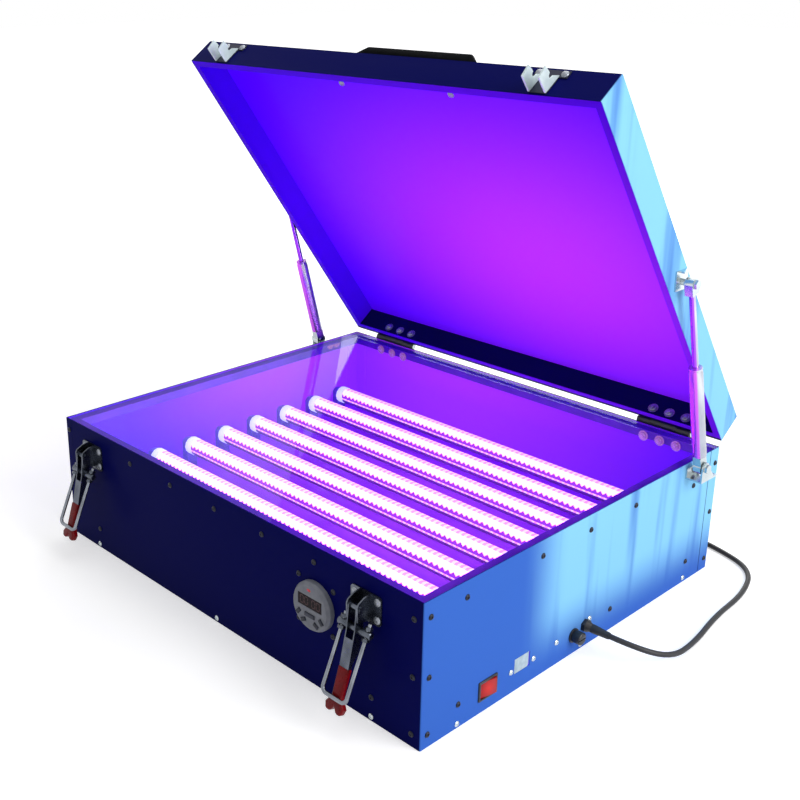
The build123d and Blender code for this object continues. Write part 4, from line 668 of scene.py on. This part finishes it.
# ---------------------------------------------------------------- timer
# A round digital timer: light-grey ABS bezel, a sunk dark display and five rubber-faced buttons.
bezel_abs, tree, shader, place = finish("grey_abs", IOR=1.53, Specular_IOR_Level=0.2)
mottle(tree, shader, place, ("#7d8089", "#8a8d96"), 0.01, (0.35, 0.5), 0.0007, 0.00003)
dress(bezel_abs, "timer_bezel", edge=0.0008)
body_abs, tree, shader, place = finish("black_abs", IOR=1.53)
mottle(tree, shader, place, ("#101116", "#1b1c22"), 0.01, (0.4, 0.55), 0.0008, 0.00003)
dress(body_abs, "timer_body")
# Display window: smoked acrylic, dark and very smooth.
smoked_acrylic, tree, shader, place = finish("smoked_acrylic", IOR=1.49, Specular_IOR_Level=0.08)
mottle(tree, shader, place, ("#160a12", "#1e0f18"), 0.02, (0.08, 0.14), 0.002)
dress(smoked_acrylic, "timer_display")
# Silicone rubber keys: slate black, the middle one a little lighter.
slate_rubber, tree, shader, place = finish("slate_rubber", IOR=1.43)
mottle(tree, shader, place, ("#181b26", "#232735"), 0.004, (0.5, 0.65), 0.0006, 0.00003)
dress(slate_rubber, "timer_button_1", "timer_button_2", "timer_button_4", "timer_button_5",
      edge=0.0006)
grey_rubber, tree, shader, place = finish("grey_rubber", IOR=1.43)
mottle(tree, shader, place, ("#2b2e3a", "#383c4a"), 0.004, (0.5, 0.65), 0.0006, 0.00003)
dress(grey_rubber, "timer_button_3", edge=0.0006)

# Four figures of six bars each, without the middle one, stand unlit on the display.
TIMER_CENTRE = (0.185, 0.109)
display_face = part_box("timer_display")[0].y
FIGURE = (0.0052, 0.0094)
BAR = 0.0011
BAR_THICK = 0.00006
figures = bmesh.new()
for figure_x in (-0.0135, -0.0060, 0.0060, 0.0135):
    for bar_x, bar_z, wide, tall in (
        (0, 0.5, 0.8, 0), (0, -0.5, 0.8, 0), (-0.5, 0.25, 0, 0.4), (-0.5, -0.25, 0, 0.4),
        (0.5, 0.25, 0, 0.4), (0.5, -0.25, 0, 0.4),
    ):
        bar = bmesh.ops.create_grid(figures, x_segments=1, y_segments=1, size=0.5)["verts"]
        bar_size = (max(wide * FIGURE[0], BAR), max(tall * FIGURE[1], BAR), 1)
        bmesh.ops.scale(figures, vec=bar_size, verts=bar)
        bmesh.ops.rotate(figures, matrix=Matrix.Rotation(pi / 2, 3, "X"), cent=(0, 0, 0), verts=bar)
        spot = (TIMER_CENTRE[0] + figure_x + bar_x * FIGURE[0], display_face - 0.00008,
                TIMER_CENTRE[1] + 0.0065 + bar_z * FIGURE[1])
        bmesh.ops.translate(figures, vec=spot, verts=bar)
bmesh.ops.solidify(figures, geom=figures.faces[:], thickness=BAR_THICK)
# Unlit figures: dull dark red behind the window.
unlit_figure, tree, shader, place = finish("unlit_figure", Roughness=0.6)
mottle(tree, shader, place, ("#331419", "#40191f"), 0.002, (0.55, 0.7), 0.0005)
piece("timer_figures", figures, unlit_figure, "base")
# A red pilot light above the display: a small domed lens, wider than it is tall.
PILOT_LIGHT = (TIMER_CENTRE[0] - 0.0015, -0.306, TIMER_CENTRE[1] + 0.022)
lens_shape = turned([(0, 0.0009), (0.0010, 0.0007), (0.0017, 0), (0.0017, -0.0004), (0, -0.0004)], 16)
bmesh.ops.scale(lens_shape, vec=(2.0, 1.1, 1.0), verts=lens_shape.verts)
bmesh.ops.transform(lens_shape, matrix=facing(PILOT_LIGHT, (0, -1, 0)), verts=lens_shape.verts)
red_lens, tree, shader, place = finish("red_acrylic", IOR=1.49, Roughness=0.1)
mottle(tree, shader, place, ("#d0202c", "#ee3a3e"), 0.001, (0.08, 0.16), 0.0005)
piece("timer_pilot_light", lens_shape, red_lens, "base")

# ---------------------------------------------------------------- switch, socket, fuse and gland
# A lit red rocker in a black snap-in frame, a pale connector in its opening, a black fuse cap and
# the black nylon gland of the lead.
frame_nylon, tree, shader, place = finish("black_nylon", IOR=1.53)
mottle(tree, shader, place, ("#0d0e12", "#191a20"), 0.008, (0.32, 0.46), 0.0008, 0.00003)
dress(frame_nylon, "switch_frame", "fuse_holder", "fuse_cap", edge=0.0006)
dress(frame_nylon, "cable_gland", edge=0.0004)
# Clear red polycarbonate with a lamp behind it: brighter towards its middle.
SWITCH_MIDDLE = (0.352, -0.184, 0.029)
lit_red, tree, shader, place = finish("red_polycarbonate", IOR=1.58, Roughness=0.18,
                                      Specular_IOR_Level=0.2)
off_middle = add(tree, "VectorMath", {"operation": "DISTANCE"}, {0: place})
off_middle.inputs[1].default_value = SWITCH_MIDDLE
warm = add(tree, "MapRange", {"From Max": 0.016, "To Min": 1.0, "To Max": 0.0},
           {"Value": off_middle.outputs["Value"]})
red = add(tree, "MixRGB", {"Color1": linear("#8e0a10"), "Color2": linear("#d4261a")},
          {"Fac": warm.outputs[0]})
tree.links.new(red.outputs[0], shader.inputs["Base Color"])
tree.links.new(red.outputs[0], shader.inputs["Emission Color"])
shader.inputs["Emission Strength"].default_value = 0.06
dress(lit_red, "switch_rocker", edge=0.0005)
socket_pbt, tree, shader, place = finish("pale_pbt", IOR=1.55)
mottle(tree, shader, place, ("#9fb4bd", "#b4c6cd"), 0.006, (0.4, 0.55), 0.0008, 0.00003)
dress(socket_pbt, "socket_insert", edge=0.0004)

# ---------------------------------------------------------------- hinges
# Two steel butt hinges on the back, painted black after bending round their pins.
hinge_paint, tree, shader, place = finish("black_hinge_paint", IOR=1.5)
mottle(tree, shader, place, ("#14151a", "#23252c"), 0.01, (0.3, 0.45), 0.001, 0.00003)
dress(hinge_paint, "hinge_base_leaves", "hinge_lid_leaves")
dress(zinc_plate, "hinge_pins")

# ---------------------------------------------------------------- bolts
# Zinc-plated bolts in the places of the CAD's: a domed head outside, a nut on its washer inside.
bolt_steel, tree, shader, place = finish("zinc_plated_bolt", Metallic=0.5, Specular_IOR_Level=0.25)
mottle(tree, shader, place, ("#878c94", "#a0a5ad"), 0.02, (0.2, 0.34), 0.0006)
# painted glow: the nuts inside the cabinet give off pink for the lamps' violet light they stand in
lit_nuts = add(tree, "Math", {"operation": "MULTIPLY", 1: 0.25},
               {0: within(tree, place, (-0.3485, -0.2945, 0.0), (0.3485, 0.2945, 0.178))})
shader.inputs["Emission Color"].default_value = linear("#f07cf0")
tree.links.new(lit_nuts.outputs[0], shader.inputs["Emission Strength"])
BOLT_HEAD = 0.0022
NUT_HEIGHT = 0.0030
SMALL_SCREW = 0.0020
open_lid = (Matrix.Translation(HINGE_AXIS) @ Matrix.Rotation(-OPEN_ANGLE, 4, "X")
            @ Matrix.Translation(-HINGE_AXIS))


def loose_boxes(node, matrix):
    """The lowest and highest corner of each loose solid of a CAD node, in a turned frame."""
    shape = bmesh.new()
    shape.from_mesh(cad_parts[node].data)
    bmesh.ops.remove_doubles(shape, verts=shape.verts, dist=WELD_GAP)
    bmesh.ops.transform(shape, matrix=matrix, verts=shape.verts)
    waiting, boxes = set(shape.verts), []
    while waiting:
        reached, places = [waiting.pop()], []
        while reached:
            vertex = reached.pop()
            places.append(vertex.co.copy())
            beside = {edge.other_vert(vertex) for edge in vertex.link_edges} & waiting
            waiting -= beside
            reached += beside
        boxes.append((Vector(map(min, zip(*places))), Vector(map(max, zip(*places)))))
    shape.free()
    return boxes


dome = turned([(0, 0.0027), (0.0018, 0.0025), (0.0034, 0.0018), (0.0045, 0.0008), (0.0048, 0),
               (0, 0)], 16)
dome_head = bpy.data.meshes.new("dome_head")
dome.to_mesh(dome_head)
dome.free()
nut = turned([(0, 0.0054), (0.0024, 0.0054), (0.0028, 0.0050), (0.0028, 0.0038), (0.0044, 0.0038),
              (0.0056, 0.0028), (0.0056, 0.0010), (0.0076, 0.0010), (0.0076, 0), (0, 0)], 12)
bolt_nut = bpy.data.meshes.new("bolt_nut")
nut.to_mesh(bolt_nut)
nut.free()
for name, node, body, matrix in (
    ("cabinet_bolts", "base_fasteners", "base", Matrix()),
    ("lid_bolt_heads", "lid_bolts", "lid", open_lid.inverted()),
):
    shape = bmesh.new()
    for low, high in loose_boxes(node, matrix):
        middle, reach = (low + high) / 2, (high - low) / 2
        if abs(middle.y) > 0.28:
            out = Vector((0, middle.y / abs(middle.y), 0))
        elif abs(middle.x) > 0.33:
            out = Vector((middle.x / abs(middle.x), 0, 0))
        else:
            out = Vector((0, 0, -1))
        depth = abs(reach.dot(out))
        if min(reach) < SMALL_SCREW:  # made with the panel screws
            continue
        stamp(shape, dome_head, facing(middle + out * (depth - BOLT_HEAD), out))
        stamp(shape, bolt_nut, facing(middle - out * (depth - NUT_HEIGHT), -out))
    bmesh.ops.transform(shape, matrix=matrix.inverted(), verts=shape.verts)
    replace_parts(piece(name, shape, bolt_steel, body), node)

# ---------------------------------------------------------------- toggle latches
# Zinc-plated pressings: a base plate with two ears, a folded lever on a rivet, a wire bail through
# a trunnion barrel, and a red vinyl grip dipped on the lever's tongue.
LATCH_CENTRES = {"left": -0.281, "right": 0.267}
BARREL = Vector((0, -0.3135, 0.124))
BAIL_TURN = radians(24)
BAIL_LENGTH = 0.0804
BAIL_HALF = 0.0185
BAIL_RADIUS = 0.0025
BAIL_BEND = 0.0068
BAIL_TIP = 0.012
LEG_STEP = 0.0011
# Zinc plate with painted shade: darker and greyer than the plate on the lid, standing for the shade on
# the unit's front.
shaded_zinc, tree, shader, place = finish("shaded_zinc_plate", Metallic=1.0)
mottle(tree, shader, place, ("#4c515a", "#646973"), 0.02, (0.2, 0.34), 0.001)
dress(shaded_zinc, "latch_bases", "latch_lever_left", "latch_lever_right")
dress(shaded_zinc, "latch_barrel_left", "latch_barrel_right")
# Dipped vinyl: glossy red, thick and rounded at every edge.
red_vinyl, tree, shader, place = finish("red_dipped_vinyl", IOR=1.53, Specular_IOR_Level=0.15)
mottle(tree, shader, place, ("#6d040b", "#820810"), 0.012, (0.22, 0.36), 0.002, 0.00006)
dress(red_vinyl, "latch_grip_left", "latch_grip_right", edge=0.0018)
# Drawn wire, zinc plated: two legs that end plain above the barrel, two bends and a cross run.
bail_wire, tree, shader, place = finish("drawn_wire", Metallic=1.0)
mottle(tree, shader, place, ("#767a82", "#8d929a"), 0.02, (0.18, 0.3), 0.0006)
up_bail = Vector((0, sin(BAIL_TURN), cos(BAIL_TURN)))
out_bail = Vector((0, -cos(BAIL_TURN), sin(BAIL_TURN)))
bail_axes = Matrix((Vector((1, 0, 0)), up_bail, out_bail)).transposed().to_4x4()
leg_end = Matrix.Translation((BAIL_HALF, BAIL_TIP, 0)) @ Matrix.Rotation(pi / 2, 4, "X")
for side, centre in LATCH_CENTRES.items():
    wire = bmesh.new()
    bmesh.ops.create_circle(wire, cap_ends=True, segments=16, radius=BAIL_RADIUS, matrix=leg_end)
    section = wire.faces[:]
    # each leg in seven straight runs, six of them short, at its end
    plain_leg = BAIL_TIP - 6 * LEG_STEP + BAIL_LENGTH - BAIL_BEND
    moves = [(0, -LEG_STEP, 0)] * 6 + [(0, -plain_leg, 0)]
    moves += ["bend", (-2 * (BAIL_HALF - BAIL_BEND), 0, 0), "bend"]
    moves += [(0, plain_leg, 0)] + [(0, LEG_STEP, 0)] * 6
    bends = [(BAIL_HALF - BAIL_BEND, -BAIL_LENGTH + BAIL_BEND, 0),
             (-BAIL_HALF + BAIL_BEND, -BAIL_LENGTH + BAIL_BEND, 0)]
    for move in moves:
        if move == "bend":
            turned_end = bmesh.ops.spin(wire, geom=section, cent=bends.pop(0), axis=(0, 0, 1),
                                        angle=-pi / 2, steps=8, use_merge=False, use_duplicate=False)
            section = [part for part in turned_end["geom_last"]
                       if isinstance(part, bmesh.types.BMFace)]
            continue
        longer = bmesh.ops.extrude_face_region(wire, geom=section)["geom"]
        bmesh.ops.delete(wire, geom=section, context="FACES_ONLY")
        section = [part for part in longer if isinstance(part, bmesh.types.BMFace)]
        end = {vertex for face in section for vertex in face.verts}
        bmesh.ops.translate(wire, vec=move, verts=list(end))
    bmesh.ops.remove_doubles(wire, verts=wire.verts, dist=WELD_GAP)
    bail_place = Matrix.Translation(BARREL + Vector((centre, 0, 0))) @ bail_axes
    bmesh.ops.transform(wire, matrix=bail_place, verts=wire.verts)
    bail = piece("bail_wire_" + side, wire, bail_wire, "latch_bail_" + side)
    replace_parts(bail, "latch_bail_" + side)
# The catches are new zinc plate, pale and satin. The photograph shows their base plates as a dark
# blur: all that lies outside the fins' box, in the place of the shut lid, gets that colour.
FINS_BOX = ((-0.36, -0.65, -0.01), (0.36, -0.5998, 0.06))
satin_zinc, tree, shader, place = finish("satin_zinc_plate", Metallic=0.25, Specular_IOR_Level=0.2)
bright = mottle(tree, shader, place, ("#ccdde0", "#dfeef0"), 0.02, (0.35, 0.5), 0.0008)
fins = within(tree, lid_place(tree, place), *FINS_BOX)
plated = add(tree, "MixRGB", {"Color1": linear("#23263c")},
             {"Fac": fins, "Color2": bright.outputs["Color"]})
tree.links.new(plated.outputs[0], shader.inputs["Base Color"])
dress(satin_zinc, "catches")

# ---------------------------------------------------------------- lid
# A folded tray in the same blue sheet, hung on the hinges, with a lip turned in round its edge.
LID_INSIDE = ((-0.34925, -0.59725, -0.01), (0.34925, -0.00675, 0.04445))
LID_TOP_SHEET = ((-0.3480, -0.5960, 0.0430), (0.3480, -0.0080, 0.05))
HINGE_WALL = ((-0.36, -0.0098, 0.0), (0.36, 0.0, 0.0436))
lid_coat = blue_coat("blue_lid_coat", LID_INSIDE, LID_TOP_SHEET,
                     glow_middle=(0.14, -0.364, 0.04), painted_light_colours=("#5002ea", "#b634ff"),
                     lit_patch=(-0.3, -0.4, 0.0, 0.05), shaded_part=HINGE_WALL)
dress(lid_coat, "lid_shell")

# ---------------------------------------------------------------- handle
# A bow of black nylon, screwed through two light-grey feet to the lid's top. Its IOR is low so that
# it stays as black as in the photograph.
bow_nylon, tree, shader, place = finish("moulded_black_nylon", IOR=1.15, Specular_IOR_Level=0.05)
mottle(tree, shader, place, ("#06070a", "#0c0d11"), 0.01, (0.3, 0.45), 0.001, 0.00004)
HANDLE_CENTRE = (-0.0075, -0.2417)
HANDLE_SPAN = 0.0965
HANDLE_TOP = 0.2905
HANDLE_FOOT_TOP = 0.239
HANDLE_DEPTH = 0.026
HANDLE_EDGE = 0.0035
bow = bmesh.new()
outline = [
    (-HANDLE_SPAN - 0.010, HANDLE_FOOT_TOP), (-HANDLE_SPAN - 0.010, HANDLE_TOP - 0.020),
    (-HANDLE_SPAN + 0.008, HANDLE_TOP), (HANDLE_SPAN - 0.004, HANDLE_TOP),
    (HANDLE_SPAN + 0.010, HANDLE_TOP - 0.012), (HANDLE_SPAN + 0.010, HANDLE_FOOT_TOP),
    (HANDLE_SPAN - 0.010, HANDLE_FOOT_TOP), (HANDLE_SPAN - 0.016, HANDLE_TOP - 0.017),
    (-HANDLE_SPAN + 0.016, HANDLE_TOP - 0.017), (-HANDLE_SPAN + 0.010, HANDLE_FOOT_TOP),
]
side_y = HANDLE_CENTRE[1] - HANDLE_DEPTH / 2
side_face = bow.faces.new([bow.verts.new((HANDLE_CENTRE[0] + x, side_y, z)) for x, z in outline])
far_side = bmesh.ops.extrude_face_region(bow, geom=[side_face])["geom"]
bmesh.ops.translate(bow, vec=(0, HANDLE_DEPTH, 0),
                    verts=[part for part in far_side if isinstance(part, bmesh.types.BMVert)])
bmesh.ops.recalc_face_normals(bow, faces=bow.faces)
bmesh.ops.bevel(bow, geom=bow.edges[:], offset=HANDLE_EDGE, segments=3, profile=0.5,
                affect="EDGES", material=-1, clamp_overlap=True)
bmesh.ops.transform(bow, matrix=open_lid, verts=bow.verts)
handle = piece("handle_grip", bow, bow_nylon, "lid")
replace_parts(handle, "handle_bow")
foot_abs, tree, shader, place = finish("light_grey_abs", IOR=1.53)
mottle(tree, shader, place, ("#8e939c", "#a0a5ad"), 0.01, (0.35, 0.5), 0.0008, 0.00003)
dress(foot_abs, "handle_feet", edge=0.001)

# ---------------------------------------------------------------- gas struts
# Silver-painted steel cylinders with chromed rods, an eye at each end, between a slotted bracket
# on the base and a shelf bracket on the lid.
STRUT_LOW = Vector((0, 0.2185, 0.1825))
STRUT_HIGH = Vector((0, 0.1469515, 0.4428601))
TOWARDS_LAMPS = (-0.675, -0.738, 0.0)
strut_dir = (STRUT_HIGH - STRUT_LOW).normalized()
# Baked silver paint: fine metal flake under a soft gloss.
silver_paint, tree, silver_shader, place = finish("silver_paint", Metallic=0.8)
silver_tree = tree
silver = mottle(tree, silver_shader, place, ("#a6aab6", "#bbbec9"), 0.05, (0.2, 0.28), 0.0006)
# Hard chrome: a clean mirror with the faintest grinding marks.
hard_chrome, tree, shader, place = finish("hard_chrome", Metallic=1.0)
chrome = mottle(tree, shader, place, ("#a9a6bc", "#bdb9d0"), 0.03, (0.08, 0.16), 0.0008)


def paint_lamp_light(tree, shader, colour, tint, low, high):
    """Paints the lamps' light as a tint on the side of a round bar that faces them, by its normal."""
    normal = add(tree, "TexCoord", {}).outputs["Normal"]
    facing_lamps = add(tree, "VectorMath", {"operation": "DOT_PRODUCT"}, {0: normal})
    facing_lamps.inputs[1].default_value = TOWARDS_LAMPS
    share = add(tree, "MapRange", {"From Min": low, "From Max": high},
                {"Value": facing_lamps.outputs["Value"]})
    tinted = add(tree, "MixRGB", {"Color2": linear(tint)},
                 {"Color1": colour.outputs[0], "Fac": share.outputs[0]})
    tree.links.new(tinted.outputs[0], shader.inputs["Base Color"])


# painted light: the lamps' violet on the side of the struts' paint and chrome that faces them
paint_lamp_light(silver_tree, silver_shader, silver, "#d060f0", 0.05, 0.25)
paint_lamp_light(tree, shader, chrome, "#a850e8", -0.3, 0.0)
# Radius and distance from the lower pin: a cylinder bored for its rod, and the rod.
CYLINDER = [(0, 0.018), (0.0072, 0.018), (0.0086, 0.0188), (0.009, 0.0204), (0.009, 0.1470),
            (0.0078, 0.1490), (0.0078, 0.1502), (0.0088, 0.1512), (0.0086, 0.1526), (0.0048, 0.1530),
            (0.0042, 0.1530), (0.0042, 0.0300), (0, 0.0300)]
ROD = [(0, 0.1501), (0.004, 0.1501), (0.004, 0.2540), (0.0037, 0.2560), (0, 0.2560)]
for side, x in (("left", -0.365), ("right", 0.365)):
    for name, profile, material, body, slot, stands_for in (
        ("strut_tube_", CYLINDER, silver_paint, "strut_cylinder_", "strut_paint", "strut_cylinder_"),
        ("strut_bar_", ROD, hard_chrome, "strut_rod_", "strut_rod_chrome", "strut_rod_"),
    ):
        shape = turned(profile, 32)
        bmesh.ops.transform(shape, matrix=facing(STRUT_LOW + Vector((x, 0, 0)), strut_dir),
                            verts=shape.verts)
        made = piece(name + side, shape, material, body + side)
        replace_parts(made, stands_for + side)
dress(zinc_plate, "strut_foot_left", "strut_foot_right", "strut_rod_end_left", "strut_rod_end_right")
dress(zinc_plate, "strut_lower_brackets", "strut_upper_brackets")
